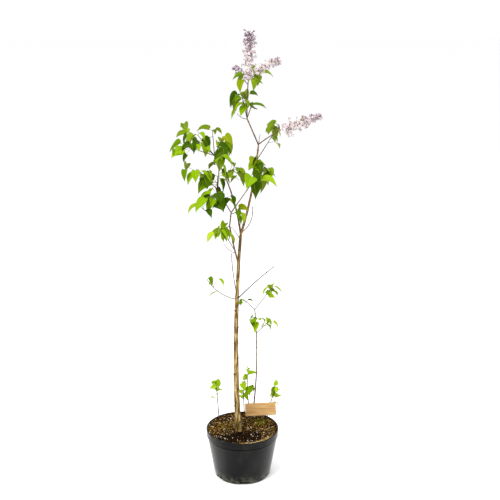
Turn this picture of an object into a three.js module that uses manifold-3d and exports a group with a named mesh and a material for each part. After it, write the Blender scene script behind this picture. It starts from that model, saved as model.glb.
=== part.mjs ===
// A young lilac bush in its grower's pot: one tapering trunk that forks, boughs that carry pairs of
// heart-shaped leaves and five loose flower heads, and a tall sucker and four sprouts from the same root.
// Millimetres and degrees, +Z up, origin at the middle of the pot's flat underside, the front towards -Y.
// A bearing turns from +X towards +Y, and a rise is the angle above the level.

import * as THREE from "three";
import { mergeVertices } from "three/addons/utils/BufferGeometryUtils.js";
import Module from "manifold-3d";

const wasm = await Module();
wasm.setup();

// ---- Driving dimensions ----

const GAP = 0.3; // between neighbouring solids
const SLIVER = 0.01; // width of the faces that are tidied away after a cut
const WELD = 1e-4; // distance within which two points are one

const POT = {
  height: 162,
  rimRadius: 120,
  footRadius: 92.4,
  wall: 1.8,
  floor: 2.4,
  bandHeight: 24, // of the thicker band under the rim
  bandStep: 3.4, // by which that band stands out of the wall
  sides: 48,
  notches: 6, // drain notches round the foot
  notchBearing: -85, // of the first of them
  notchWidth: 33,
  notchHeight: 10,
  notchDepth: 12,
};

const SOIL_TOP = 156;

const LABEL = {
  width: 104,
  height: 46,
  thickness: 4,
  middle: [61, 50, 203.5],
  tilt: -3, // of the board about the front-to-back axis
  stickWidth: 5,
  stickThickness: 2.5,
  stickX: 66,
  stickTop: 212,
};

// Each limb bows by lift upwards and by sway sideways, and tapers between its two radii. A limb with no
// parent has the place of its foot on the soil, and one with a bud ends bare.
const LIMBS = {
  trunk: {
    foot: [-13, -12], bearing: 44, rise: 88.9, length: 670,
    lift: 7, sway: 9, radii: [10.4, 4.2], flare: 0.8,
  },
  leader_lower: { on: "trunk", at: 1, bearing: 15, rise: 78.6, length: 287, lift: -8, radii: [4.2, 2.5] },
  leader_upper: { on: "leader_lower", at: 1, bearing: -155, rise: 65, length: 90, radii: [2.2, 1.9] },
  leader_top: {
    on: "leader_upper", at: 1, bearing: 0, rise: 88, length: 113,
    lift: 2, radii: [1.8, 1.5],
  },
  right_bough: {
    on: "leader_lower", at: 1, bearing: -34, rise: 32, length: 96,
    lift: 2, radii: [1.9, 1.4],
  },
  left_bough: {
    on: "trunk", at: 1, bearing: 132, rise: 62, length: 265,
    lift: 16, sway: -4, radii: [3, 1.7],
  },
  middle_bough: {
    on: "trunk", at: 0.855, bearing: -132, rise: 73, length: 138,
    lift: -2, radii: [2.8, 2.2],
  },
  middle_bough_top: { on: "middle_bough", at: 1, bearing: -58, rise: 78, length: 45, radii: [2.1, 1.9] },
  middle_right_bough: {
    on: "middle_bough_top", at: 1, bearing: -20, rise: 55, length: 116,
    radii: [1.8, 1.3],
  },
  middle_left_bough: {
    on: "middle_bough_top", at: 1, bearing: -152, rise: 59, length: 91,
    radii: [1.7, 1.3],
  },
  low_right_twig: {
    on: "trunk", at: 0.68, bearing: 30, rise: 33, length: 160,
    lift: 3, radii: [1.9, 1], bud: 2.4,
  },
  side_twig: {
    on: "trunk", at: 0.7, bearing: -150, rise: 82, length: 141,
    lift: -3, radii: [1.5, 1], bud: 1.8,
  },
  fork_twig: {
    on: "leader_lower", at: 0.02, bearing: 0, rise: 66, length: 86,
    lift: -12, radii: [1.3, 0.9], bud: 2.4,
  },
  tall_sucker: {
    foot: [32, 75], bearing: -30, rise: 88.5, length: 396,
    lift: -10, sway: 5, radii: [2.6, 1.6],
  },
};
const FLARE_LENGTH = 26; // over which the root flare dies out up the trunk
const BURIED = 4; // depth that a limb without a parent is drawn down to before it is cut off at the soil
const BUD = { stretch: 1.8, sides: 5, rings: 4 };
const LIMB_STEP = 26; // length of one straight stretch of a limb
const SIDES = [
  { over: 5, sides: 12 },
  { over: 1.45, sides: 6 },
  { over: 0, sides: 3 },
]; // of a limb whose foot is thicker than this

// A mass of foliage grows on one shoot. Its leaves stand in opposite pairs from the tip down to the bare
// part of the shoot, each pair turned a quarter from the last. The seed settles how each leaf hangs, with
// the pitch of its blade between two angles.
const SHOOT = { leaf: 46, stalk: 15, bare: 0.25, pairs: 3, pitch: [-85, -10], radii: [1.4, 0.9] };
const MASSES = {
  top_right: { on: "leader_top", at: 1, bearing: 50, rise: 25, length: 50, leaf: 44, seed: 625 },
  top_left: { on: "leader_top", at: 0.9, bearing: 220, rise: 40, length: 20, leaf: 40, pairs: 2, seed: 877 },
  top_back: { on: "leader_top", at: 0.45, bearing: 130, rise: 35, length: 30, leaf: 48, seed: 138 },
  top_low_left: {
    on: "leader_upper", at: 1, bearing: -145, rise: 75, length: 70,
    leaf: 42, pairs: 5, seed: 153,
  },
  top_low_right: {
    on: "leader_upper", at: 1, bearing: 40, rise: 65, length: 40,
    leaf: 48, pairs: 4, seed: 615,
  },
  right: { on: "right_bough", at: 0.95, bearing: 100, rise: 50, length: 20, leaf: 42, pairs: 5, seed: 83 },
  right_side: {
    on: "leader_lower", at: 0.83, bearing: 45, rise: 45, length: 115,
    leaf: 28, bare: 0.65, pairs: 2, seed: 568,
  },
  upper_left_outer: { on: "left_bough", at: 1, bearing: -150, rise: 50, length: 90, leaf: 44, seed: 900 },
  upper_left_far: {
    on: "left_bough", at: 1, bearing: -165, rise: 20, length: 100,
    leaf: 50, stalk: 22, bare: 0.6, pairs: 2, seed: 547,
  },
  upper_left_top: {
    on: "left_bough", at: 1, bearing: 100, rise: 60, length: 85,
    leaf: 40, stalk: 18, bare: 0.5, pairs: 2, seed: 626,
  },
  upper_left_high: {
    on: "left_bough", at: 1, bearing: -210, rise: 35, length: 145,
    leaf: 40, bare: 0.55, seed: 703,
  },
  upper_left_inner: { on: "left_bough", at: 1, bearing: 60, rise: 45, length: 65, pairs: 4, seed: 843 },
  upper_left_front: {
    on: "left_bough", at: 0.97, bearing: -65, rise: 25, length: 65,
    leaf: 44, pairs: 4, seed: 915,
  },
  upper_left_low: { on: "left_bough", at: 0.75, bearing: 5, rise: 20, length: 40, leaf: 42, seed: 698 },
  middle_left_outer: {
    on: "middle_left_bough", at: 1, bearing: -150, rise: 45, length: 95,
    leaf: 48, pairs: 4, seed: 352,
  },
  middle_left_inner: {
    on: "middle_left_bough", at: 1, bearing: 90, rise: 40, length: 50,
    leaf: 42, seed: 112,
  },
  middle_left_high: {
    on: "middle_left_bough", at: 0.95, bearing: -50, rise: 85, length: 100,
    leaf: 50, seed: 834,
  },
  middle_left_low: {
    on: "middle_left_bough", at: 0.6, bearing: -110, rise: 15, length: 100,
    leaf: 50, pairs: 4, seed: 909,
  },
  middle_left_near: { on: "middle_left_bough", at: 0.35, bearing: -85, rise: 40, length: 40, seed: 279 },
  lower_left_outer: {
    on: "middle_bough", at: 1, bearing: -105, rise: 5, length: 105,
    leaf: 40, pairs: 4, seed: 449,
  },
  lower_left_low: {
    on: "middle_bough", at: 0.35, bearing: -185, rise: 60, length: 65,
    leaf: 40, pairs: 2, seed: 597,
  },
  middle_near: {
    on: "middle_bough_top", at: 0.9, bearing: -20, rise: 20, length: 25,
    leaf: 44, pairs: 2, seed: 255,
  },
  centre_high: {
    on: "leader_lower", at: 0.72, bearing: -75, rise: 55, length: 50,
    leaf: 44, pairs: 4, seed: 744,
  },
  centre_right: {
    on: "leader_lower", at: 0.62, bearing: 30, rise: 35, length: 50,
    leaf: 40, pairs: 4, seed: 700,
  },
  centre_left: { on: "middle_right_bough", at: 1, bearing: -100, rise: 40, length: 45, leaf: 54, seed: 437 },
  centre_low: { on: "middle_right_bough", at: 1, bearing: 20, rise: 25, length: 30, leaf: 58, seed: 875 },
  low_left: {
    on: "trunk", at: 0.68, bearing: -160, rise: 38, length: 125,
    lift: -12, leaf: 32, stalk: 12, bare: 0.45, pairs: 4, seed: 37,
  },
  sucker_left: {
    on: "tall_sucker", at: 1, bearing: -145, rise: 45, length: 65,
    leaf: 28, stalk: 10, bare: 0.4, pairs: 2, seed: 522,
  },
  sucker_right: {
    on: "tall_sucker", at: 1, bearing: 15, rise: 50, length: 95,
    leaf: 36, stalk: 12, bare: 0.5, seed: 202,
  },
  sucker_side: {
    on: "tall_sucker", at: 0.79, bearing: 60, rise: 10, length: 90,
    leaf: 30, stalk: 12, bare: 0.4, seed: 824,
  },
  sucker_middle: {
    on: "tall_sucker", at: 0.87, bearing: 205, rise: 65, length: 20,
    leaf: 34, stalk: 10, seed: 209,
  },
  sucker_low: {
    on: "tall_sucker", at: 0.28, bearing: -90, rise: 50, length: 20,
    leaf: 22, stalk: 7, pairs: 2, seed: 129,
  },
  sprout_left: {
    foot: [-79, 60], bearing: 180, rise: 86, length: 124, pitch: [-25, 35],
    leaf: 30, stalk: 8, bare: 0.62, radii: [1.8, 1.2], seed: 224,
  },
  sprout_near: {
    foot: [6, 94], bearing: 174, rise: 88, length: 121, pitch: [-60, 20],
    leaf: 30, stalk: 8, bare: 0.35, pairs: 4, radii: [1.8, 1.2], seed: 436,
  },
  sprout_tall: {
    foot: [28, 90], bearing: 184, rise: 87, length: 175, lift: -6,
    pitch: [-60, 20], leaf: 32, stalk: 8, pairs: 6, radii: [1.7, 1.1], seed: 371,
  },
  sprout_right: {
    foot: [82, 66], bearing: -2, rise: 75, length: 126, lift: 4,
    pitch: [-50, 30], leaf: 30, stalk: 8, bare: 0.35, pairs: 4, radii: [1.8, 1.2], seed: 29,
  },
};

// A flower head is a stem with whorls of branchlets, and its florets reach half its width from that stem.
const HEAD = { bare: 0.2, taper: 0.3, radii: [1.3, 0.8], seed: 1 };
const FLOWER_HEADS = {
  flowers_top: {
    on: "leader_top", at: 1, bearing: 60, rise: 87, length: 136,
    width: 50, whorls: 10, bare: 0.3, taper: 0.15,
  },
  flowers_top_right: {
    on: "leader_top", at: 1, bearing: -12, rise: 33, length: 107,
    lift: 11, width: 42, whorls: 8, bare: 0.3,
  },
  flowers_top_left: {
    on: "leader_top", at: 1, bearing: 164, rise: 42, length: 52,
    width: 36, whorls: 4, bare: 0.45,
  },
  flowers_top_front: {
    on: "leader_top", at: 1, bearing: -87, rise: 43, length: 48,
    width: 42, whorls: 4, bare: 0.4,
  },
  flowers_right: {
    on: "right_bough", at: 1, bearing: -13, rise: 21, length: 122,
    width: 66, whorls: 10, bare: 0.06, taper: 0.65,
  },
};
const FLORET = {
  length: 12,
  girth: 5,
  widest: 8, // from its root
  spacing: 15, // along a branchlet
  turn: 25, // of a branchlet from its place in the whorl, either way
  lean: [52, 78], // of a branchlet away from the stem
  inset: [0.6, 0.95], // of its root from the head's edge, in its lengths
  rise: [-0.4, 0.8], // of the ones along a branchlet
  shortest: 2, // of branchlets
};
const FLORET_SUNK = 0.5; // of its pole past the axis that it grows from
const FLORET_ROOT = 2; // from that pole to its first full section
const BRANCHLET_RADIUS = 0.7;

// Half the width of a blade follows a half wave that is skewed towards its foot and narrows along it.
const BLADE = { width: 0.36, skew: 0.6, narrowing: 0.35 };

// How a leaf is drawn: each value lies evenly between two, or that far either way of its mean.
const HABIT = {
  turn: 45, // of a pair about its shoot
  lean: [40, 75], // of a stalk away from the shoot
  heading: 40, // of a blade from its stalk
  size: [0.7, 1.15],
  stalk: [0.6, 1.3],
  curl: [15, 70],
  roll: 45,
  fold: [12, 42],
};

// A leaf's cross-sections from the root of its stalk to its tip. Those of the stalk have a radius and say how far
// on from the node they are, and the last of them lies at the blade's foot. Those of the blade say in blade
// lengths where its rib and its edges lie, half its width and half its thickness at the rib.
const LEAF_ROWS = [
  { on: -0.5, radius: 0 },
  { on: 1.6, radius: 0.9 },
  { radius: 0.7 },
  { rib: 0.24, edge: 0.1, out: 0.306, thick: 0.016 },
  { rib: 0.6, edge: 0.54, out: 0.216, thick: 0.012 },
  { rib: 1, edge: 1, out: 0, thick: 0 },
];

// Clearances that decide which leaves and florets are skipped, and the points of a blade that are tested,
// in shares of its length and of its half width.
const KEPT = 0.92; // the share of leaves that haven't been lost
const CLEAR_OF_WOOD = 2.5;
const CLEAR_OF_LEAVES = 6;
const REACH = 1.5; // of a mass beyond its shoot, in mean blades
const TESTED_STEP = 4; // along the axes of the wood that they are tested against
const TESTED_ALONG = [0.04, 0.14, 0.26, 0.38, 0.5, 0.62, 0.75, 0.88, 1];
const TESTED_ACROSS = [-1, -0.5, 0, 0.5, 1];

const FINISH = {
  pot: { color: 0x2b2d2f, roughness: 0.55, metalness: 0 },
  soil: { color: 0x6b4a26, roughness: 1, metalness: 0 },
  label: { color: 0xe0ad6c, roughness: 0.7, metalness: 0 },
  bark: { color: 0x9c7a48, roughness: 0.85, metalness: 0 },
  leaf: { color: 0x6fa81e, roughness: 0.5, metalness: 0 },
  blossom: { color: 0xd9c3dc, roughness: 0.6, metalness: 0 },
};

// ---- The growth rule ----

const UP = new THREE.Vector3(0, 0, 1);
const radians = THREE.MathUtils.degToRad;

// Draws evenly spread numbers that depend on the seed alone.
function seeded(seed) {
  const modulus = 2147483647;
  let state = (seed * 7919) % modulus;
  const draw = (low, high) => {
    state = (state * 16807) % modulus;
    return low + ((high - low) * state) / modulus;
  };
  draw(0, 1);
  return draw;
}

function direction(bearing, rise) {
  const level = Math.cos(radians(rise));
  return new THREE.Vector3(
    level * Math.cos(radians(bearing)),
    level * Math.sin(radians(bearing)),
    Math.sin(radians(rise)),
  );
}

// The axis of a limb, shoot or stalk, with a frame that turns with it.
class Stem extends THREE.QuadraticBezierCurve3 {
  constructor(foot, { bearing, rise, length, lift = 0, sway = 0 }) {
    const ahead = direction(bearing, rise);
    const side = direction(bearing + 90, 0);
    const tip = foot.clone().addScaledVector(ahead, length);
    const knee = foot.clone().lerp(tip, 0.5);
    knee.addScaledVector(ahead.clone().cross(side), 2 * lift);
    knee.addScaledVector(side, 2 * sway);
    super(foot, knee, tip);
    this.side = side;
    this.length = length;
  }

  frame(s) {
    const start = this.v1.clone().sub(this.v0).multiplyScalar(1 - s);
    const ahead = this.v2.clone().sub(this.v1).multiplyScalar(s).add(start).normalize();
    const up = ahead.clone().cross(this.side).normalize();
    return { ahead, up, side: up.clone().cross(ahead) };
  }

  // The direction that leans away from the stem at s, turned about it.
  leaning(s, turn, lean) {
    const { ahead, up, side } = this.frame(s);
    return ahead
      .multiplyScalar(Math.cos(radians(lean)))
      .addScaledVector(side, Math.cos(radians(turn)) * Math.sin(radians(lean)))
      .addScaledVector(up, Math.sin(radians(turn)) * Math.sin(radians(lean)));
  }
}

// Half the width of a heart-shaped blade at a share of its length, both in blade lengths.
function halfWidth(along) {
  return BLADE.width * Math.sin(Math.PI * along ** BLADE.skew) * (1 - BLADE.narrowing * along);
}

// A blade that arches over along its rib, is rolled about it and folded up at its sides.
class Leaf {
  constructor(node, stalk, heading, size, pitch, curl, roll, fold) {
    this.node = node;
    this.foot = node.clone().add(stalk);
    this.size = size;
    this.head = direction(heading, 0);
    this.across = direction(heading + 90, 0);
    this.curl = radians(curl);
    this.start = radians(pitch) + this.curl / 2;
    this.roll = radians(roll);
    this.fold = radians(fold);
  }

  // A point of the blade: along and out from its foot in blade lengths, and off its middle surface.
  point(along, out, off = 0) {
    const slope = this.start - this.curl * along;
    const radius = this.size / this.curl;
    const facing = this.head.clone().multiplyScalar(-Math.sin(slope)).addScaledVector(UP, Math.cos(slope));
    const [level, turned] = [Math.cos(this.roll), Math.sin(this.roll)];
    const over = this.across.clone().multiplyScalar(level).addScaledVector(facing, turned);
    facing.multiplyScalar(level).addScaledVector(this.across, -turned);
    return this.foot
      .clone()
      .addScaledVector(this.head, radius * (Math.sin(this.start) - Math.sin(slope)))
      .addScaledVector(UP, radius * (Math.cos(slope) - Math.cos(this.start)))
      .addScaledVector(over, out * this.size * Math.cos(this.fold))
      .addScaledVector(facing, Math.abs(out) * this.size * Math.sin(this.fold) + off);
  }

  tested() {
    const stalk = [0.5, 0.9].map((on) => this.node.clone().lerp(this.foot, on));
    const blade = TESTED_ALONG.flatMap((along) =>
      TESTED_ACROSS.map((share) => this.point(along, share * halfWidth(along))),
    );
    return [...stalk, ...blade];
  }
}

// A number drawn this far either way of nought.
function about(draw, reach) {
  return draw(-reach, reach);
}

// A pair of leaves at s on a shoot. Now and then one of them has been lost.
function leafPair(draw, stem, s, quarter, shoot) {
  const turn = quarter + about(draw, HABIT.turn);
  const leaves = [];
  for (const half of [0, 180]) {
    const stalk = stem.leaning(s, turn + half, draw(...HABIT.lean));
    const heading = THREE.MathUtils.radToDeg(Math.atan2(stalk.y, stalk.x)) + about(draw, HABIT.heading);
    const size = shoot.leaf * draw(...HABIT.size);
    stalk.multiplyScalar(shoot.stalk * draw(...HABIT.stalk));
    const [pitch, curl] = [draw(...shoot.pitch), draw(...HABIT.curl)];
    const [roll, fold] = [about(draw, HABIT.roll), draw(...HABIT.fold)];
    const leaf = new Leaf(stem.getPoint(s), stalk, heading, size, pitch, curl, roll, fold);
    if (draw(0, 1) < KEPT) leaves.push(leaf);
  }
  return leaves;
}

function leavesOf(stem, shoot) {
  const draw = seeded(shoot.seed);
  const leaves = [];
  for (let k = 0; k < shoot.pairs; k++) {
    const s = 1 - ((1 - shoot.bare) * k) / shoot.pairs;
    leaves.push(...leafPair(draw, stem, s, 90 * k, shoot));
  }
  return leaves;
}

// The florets of a flower head: where each is rooted, its direction, and how far back it runs to the stem.
function floretsOf(stem, head) {
  const draw = seeded(head.seed);
  const florets = [{ root: stem.getPoint(1), ahead: stem.frame(1).ahead }];
  for (let k = 0; k < head.whorls; k++) {
    const share = k / (head.whorls - 1);
    const s = head.bare + (1 - head.bare) * share;
    const width = head.width * (1 - head.taper * share ** 1.5);
    for (const half of [0, 180]) {
      const turn = 90 * k + half + about(draw, FLORET.turn);
      const ahead = stem.leaning(s, turn, draw(...FLORET.lean));
      const length = Math.max(FLORET.shortest, width / 2 - FLORET.length * draw(...FLORET.inset));
      const foot = stem.getPoint(s);
      const root = foot.clone().addScaledVector(ahead, length);
      florets.push({ root, ahead, back: length + FLORET_SUNK });
      for (let on = length - FLORET.spacing; on > 0; on -= FLORET.spacing) {
        for (const side of [-1, 1]) {
          const across = ahead.clone().cross(UP).normalize().multiplyScalar(side);
          across.add(ahead).addScaledVector(UP, draw(...FLORET.rise)).normalize();
          florets.push({ root: foot.clone().addScaledVector(ahead, on), ahead: across });
        }
      }
    }
  }
  return florets;
}

// ---- Solids ----

// A closed geometry as a manifold-3d solid.
function solidOf(geometry) {
  geometry.deleteAttribute("normal");
  geometry.deleteAttribute("uv");
  const merged = mergeVertices(geometry, WELD);
  return new wasm.Manifold(
    new wasm.Mesh({
      numProp: 3,
      vertProperties: merged.attributes.position.array,
      triVerts: new Uint32Array(merged.index.array),
    }),
  );
}

// Moves each point of a geometry to where place puts it.
function reshaped(geometry, place) {
  const position = geometry.attributes.position;
  const point = new THREE.Vector3();
  for (let i = 0; i < position.count; i++) {
    position.setXYZ(i, ...place(point.fromBufferAttribute(position, i)));
  }
  return geometry;
}

// A closed cylinder or cone bent along a stem, from one share of its length to another.
function alongStem(straight, stem, radius, from = 0, to = 1) {
  return solidOf(
    reshaped(straight, ({ x, y, z }) => {
      const s = from + (to - from) * (y + 0.5);
      const { up, side } = stem.frame(s);
      return stem.getPoint(s).addScaledVector(up, x * radius(s)).addScaledVector(side, z * radius(s));
    }),
  );
}

// A closed body of rings between two poles. place puts a point, from its row and its direction in the ring.
// The diagonals of neighbouring sectors mirror each other, so that the two sheets of a thin body fold alike.
function ringed(rows, meridians, place) {
  const last = rows.length - 1;
  const points = [];
  for (const row of rows) {
    for (let meridian = 0; meridian < meridians; meridian++) {
      const turn = (2 * Math.PI * meridian) / meridians;
      points.push(...place(row, -Math.cos(turn), Math.sin(turn)));
    }
  }
  const faces = [];
  for (let row = 0; row < last; row++) {
    for (let meridian = 0; meridian < meridians; meridian++) {
      const next = (meridian + 1) % meridians;
      const [near, far] = [row * meridians, (row + 1) * meridians];
      const quad = [near + meridian, far + meridian, far + next, near + next];
      const [a, b, c, d] = meridian % 2 ? quad : [...quad.slice(1), quad[0]];
      faces.push(a, b, c, a, c, d);
    }
  }
  const positions = new THREE.Float32BufferAttribute(points, 3);
  return solidOf(new THREE.BufferGeometry().setAttribute("position", positions).setIndex(faces));
}

function tapering([thick, thin], more = 0) {
  return (s) => thick + (thin - thick) * s + more;
}

function joined(solids) {
  return wasm.Manifold.union(solids);
}

// What is left of a solid once the cutters are taken off it, without loose scraps and without slivers.
function trimmed(solid, cutters) {
  const rest = cutters.reduce((left, cutter) => left.subtract(cutter), solid);
  const whole = rest.decompose().reduce((most, piece) => (piece.volume() > most.volume() ? piece : most));
  return whole.simplify(SLIVER);
}

function meshOf(name, solid, finish) {
  const { vertProperties, triVerts } = solid.getMesh();
  const geometry = new THREE.BufferGeometry()
    .setAttribute("position", new THREE.BufferAttribute(vertProperties, 3))
    .setIndex(new THREE.BufferAttribute(triVerts, 1));
  geometry.computeVertexNormals();
  const mesh = new THREE.Mesh(geometry, new THREE.MeshStandardMaterial(FINISH[finish]));
  mesh.name = name;
  return mesh;
}

// ---- Pot, soil and label ----

function lathed(profile) {
  const points = profile.map(([radius, height]) => new THREE.Vector2(radius, height));
  return solidOf(new THREE.LatheGeometry(points, POT.sides).rotateX(Math.PI / 2));
}

// The wall's outer radius below the band, at a height.
function wallRadius(height) {
  const bandFoot = POT.height - POT.bandHeight;
  const top = POT.rimRadius - POT.bandStep;
  return POT.footRadius + ((top - POT.footRadius) * height) / bandFoot;
}

function pot() {
  const { height, rimRadius, footRadius, wall, floor, bandHeight, bandStep } = POT;
  const bandFoot = height - bandHeight;
  const shell = lathed([
    [0, 0],
    [footRadius, 0],
    [wallRadius(bandFoot), bandFoot],
    [rimRadius - bandStep / 4, bandFoot],
    [rimRadius, height - wall],
    [rimRadius - wall / 2, height],
    [rimRadius - bandStep, height],
    [wallRadius(bandFoot) - wall, bandFoot - bandStep],
    [wallRadius(floor) - wall, floor],
    [0, floor],
  ]);
  const cutters = [];
  for (let k = 0; k < POT.notches; k++) {
    const notch = new THREE.BoxGeometry(2 * POT.notchDepth, POT.notchWidth, 2 * POT.notchHeight);
    notch.translate(footRadius, 0, 0);
    notch.rotateZ(radians(POT.notchBearing + (360 / POT.notches) * k));
    cutters.push(solidOf(notch));
  }
  return trimmed(shell, cutters);
}

function soil() {
  const foot = POT.floor + GAP;
  const inset = POT.wall + GAP;
  const bandFoot = POT.height - POT.bandHeight;
  return lathed([
    [0, foot],
    [wallRadius(foot) - inset, foot],
    [wallRadius(bandFoot) - inset - 1, bandFoot - POT.bandStep],
    [wallRadius(bandFoot) - inset, SOIL_TOP],
    [0, SOIL_TOP],
  ]);
}

function labelBoard() {
  const board = new THREE.BoxGeometry(LABEL.width, LABEL.thickness, LABEL.height);
  return solidOf(board.rotateY(radians(LABEL.tilt)).translate(...LABEL.middle));
}

// The stick stands on the soil behind the board.
function labelStick() {
  const foot = SOIL_TOP + GAP;
  const back = LABEL.middle[1] + LABEL.thickness / 2 + GAP;
  const stick = new THREE.BoxGeometry(LABEL.stickWidth, LABEL.stickThickness, LABEL.stickTop - foot);
  return solidOf(stick.translate(LABEL.stickX, back + LABEL.stickThickness / 2, (foot + LABEL.stickTop) / 2));
}

// ---- Wood: the limbs, and the stems of the masses and flower heads ----

const stems = {};

function footOf({ on, at, foot }) {
  return on ? stems[on].getPoint(at) : new THREE.Vector3(...foot, SOIL_TOP + GAP);
}

// Each row of a table on top of what all its rows share.
function completed(table, shared) {
  return Object.fromEntries(Object.entries(table).map(([name, row]) => [name, { ...shared, ...row }]));
}

const shoots = completed(MASSES, SHOOT);
const heads = completed(FLOWER_HEADS, HEAD);
const wood = { ...LIMBS, ...shoots, ...heads };
for (const [name, part] of Object.entries(wood)) stems[name] = new Stem(footOf(part), part);

// Points along the wood's axes with its radius there, for the clearance of leaves.
const woodPoints = Object.entries(wood).flatMap(([name, part]) => {
  const count = Math.ceil(part.length / TESTED_STEP);
  return Array.from({ length: count + 1 }, (_, i) => ({
    name,
    point: stems[name].getPoint(i / count),
    radius: tapering(part.radii)(i / count),
  }));
});

// A limb's own radius, with the root flare of the trunk.
function limbRadius({ radii, length, flare = 0 }, more = 0) {
  const taper = tapering(radii, more);
  return (s) => taper(s) + flare * Math.exp((-s * length) / FLARE_LENGTH);
}

// A stem's solid, from just under the soil where it has no parent, with more all round to cut others clear.
function woodSolid(name, more = 0) {
  const part = wood[name];
  const sides = SIDES.find(({ over }) => part.radii[0] > over).sides;
  const steps = Math.max(2, Math.round(part.length / LIMB_STEP));
  const buried = part.on ? 0 : -BURIED / part.length;
  const straight = new THREE.CylinderGeometry(1, 1, 1, sides, steps);
  return alongStem(straight, stems[name], limbRadius(part, more), buried, 1 + more / part.length);
}

// The bud that ends a bare limb, with more all round like the limb's own solid.
function bud(name, more = 0) {
  const { ahead, up, side } = stems[name].frame(1);
  const middle = stems[name].getPoint(1);
  return solidOf(
    reshaped(new THREE.SphereGeometry(wood[name].bud + more, BUD.sides, BUD.rings), ({ x, y, z }) =>
      middle.clone().addScaledVector(up, x).addScaledVector(ahead, BUD.stretch * y).addScaledVector(side, z),
    ),
  );
}

function limbSolid(name, more = 0) {
  const limb = woodSolid(name, more);
  return wood[name].bud ? joined([limb, bud(name, more)]) : limb;
}

// ---- Foliage and flowers ----

// A leaf with its stalk is one body of four meridians: along its rib above and below, and along its edges.
// The stalk ends in a mitre, since the blade can bend away from it sharply.
function leafSolid(leaf) {
  const stalk = leaf.foot.clone().sub(leaf.node).normalize();
  const above = stalk.clone().cross(leaf.across).normalize();
  const mitre = leaf.point(0, 0, 1).sub(leaf.foot).add(above).normalize();
  return ringed(LEAF_ROWS, 4, ({ on, radius, rib, edge, out, thick }, x, z) => {
    if (rib !== undefined) return leaf.point(x ** 2 > z ** 2 ? edge : rib, x * out, z * thick * leaf.size);
    const atFoot = on === undefined;
    const middle = atFoot ? leaf.foot.clone() : leaf.node.clone().addScaledVector(stalk, on);
    return middle.addScaledVector(leaf.across, x * radius).addScaledVector(atFoot ? mitre : above, z * radius);
  });
}

// Whether all points are clear of the wood of other limbs, masses and heads, and of what those have grown.
function isClear(points, name, grown) {
  const others = woodPoints.filter((part) => part.name !== name);
  return points.every(
    (point) =>
      others.every((part) => point.distanceTo(part.point) > part.radius + CLEAR_OF_WOOD) &&
      grown.every((other) => point.distanceTo(other) > CLEAR_OF_LEAVES),
  );
}

// A leaf is grown only in its mass's own space, a ball round the leafy part of the shoot.
function hasRoom(leaf, name, grown) {
  const shoot = shoots[name];
  const middle = stems[name].getPoint((1 + shoot.bare) / 2);
  const reach = ((1 - shoot.bare) * shoot.length) / 2 + REACH * shoot.leaf;
  const points = leaf.tested();
  return points.every((point) => point.distanceTo(middle) < reach) && isClear(points, name, grown);
}

function foliage(name, grown) {
  const leaves = leavesOf(stems[name], shoots[name]).filter((leaf) => hasRoom(leaf, name, grown));
  grown.push(...leaves.flatMap((leaf) => leaf.tested()));
  return joined([woodSolid(name), ...leaves.map(leafSolid)]);
}

// A floret is a three-sided shard. The one that ends a branchlet runs back along it into the head's stem.
function floretSolid({ root, ahead, back = FLORET_SUNK }) {
  const side = ahead.clone().cross(Math.abs(ahead.z) < 0.9 ? UP : new THREE.Vector3(1, 0, 0)).normalize();
  const up = side.clone().cross(ahead);
  const rows = [
    { on: -back, radius: 0 },
    { on: FLORET_ROOT - back, radius: BRANCHLET_RADIUS },
    { on: FLORET.widest, radius: FLORET.girth / 2 },
    { on: FLORET.length, radius: 0 },
  ];
  return ringed(rows, 3, ({ on, radius }, x, z) => {
    const middle = root.clone().addScaledVector(ahead, on);
    return middle.addScaledVector(side, x * radius).addScaledVector(up, -z * radius);
  });
}

// Points along a floret and its branchlet.
function floretPoints({ root, ahead, back = 0 }) {
  const shares = [0, 0.25, 0.5, 0.75, 1];
  return shares.map((on) => root.clone().addScaledVector(ahead, on * (FLORET.length + back) - back));
}

function flowerHead(name, grown) {
  const all = floretsOf(stems[name], heads[name]);
  const florets = all.filter((floret) => isClear(floretPoints(floret), name, grown));
  grown.push(...florets.flatMap(floretPoints));
  return joined([woodSolid(name), ...florets.map(floretSolid)]);
}

// ---- Assembly ----

const bush = new THREE.Group();
bush.name = "lilac_bush_in_pot";
bush.add(meshOf("pot", pot(), "pot"), meshOf("soil", soil(), "soil"));
bush.add(meshOf("label_board", labelBoard(), "label"), meshOf("label_stick", labelStick(), "label"));

// Everything that grows is cut clear of the soil and of the wood before it.
const ground = new THREE.BoxGeometry(2 * POT.rimRadius, 2 * POT.rimRadius, POT.height);
const cutters = [solidOf(ground.translate(0, 0, SOIL_TOP + GAP - POT.height / 2))];
for (const name of Object.keys(LIMBS)) {
  bush.add(meshOf(name, trimmed(limbSolid(name), cutters), "bark"));
  cutters.push(limbSolid(name, GAP));
}
const grown = [];
for (const name of Object.keys(heads)) {
  bush.add(meshOf(name, trimmed(flowerHead(name, grown), cutters), "blossom"));
  cutters.push(woodSolid(name, GAP));
}
for (const name of Object.keys(shoots)) {
  bush.add(meshOf(name, trimmed(foliage(name, grown), cutters), "leaf"));
  cutters.push(woodSolid(name, GAP));
}

export default bush;
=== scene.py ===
"""The looks of a young potted lilac bush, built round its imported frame.

Everything that grows comes from the rule of the part's source, written again here: limbs, then the shoots
of the masses and flower heads, then leaves and florets drawn from each one's seed. Sizes are in millimetres
and angles in degrees until a piece is made. +Z is up, the front faces -Y, and a bearing turns from +X
towards +Y.
"""

import itertools
import math

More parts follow.
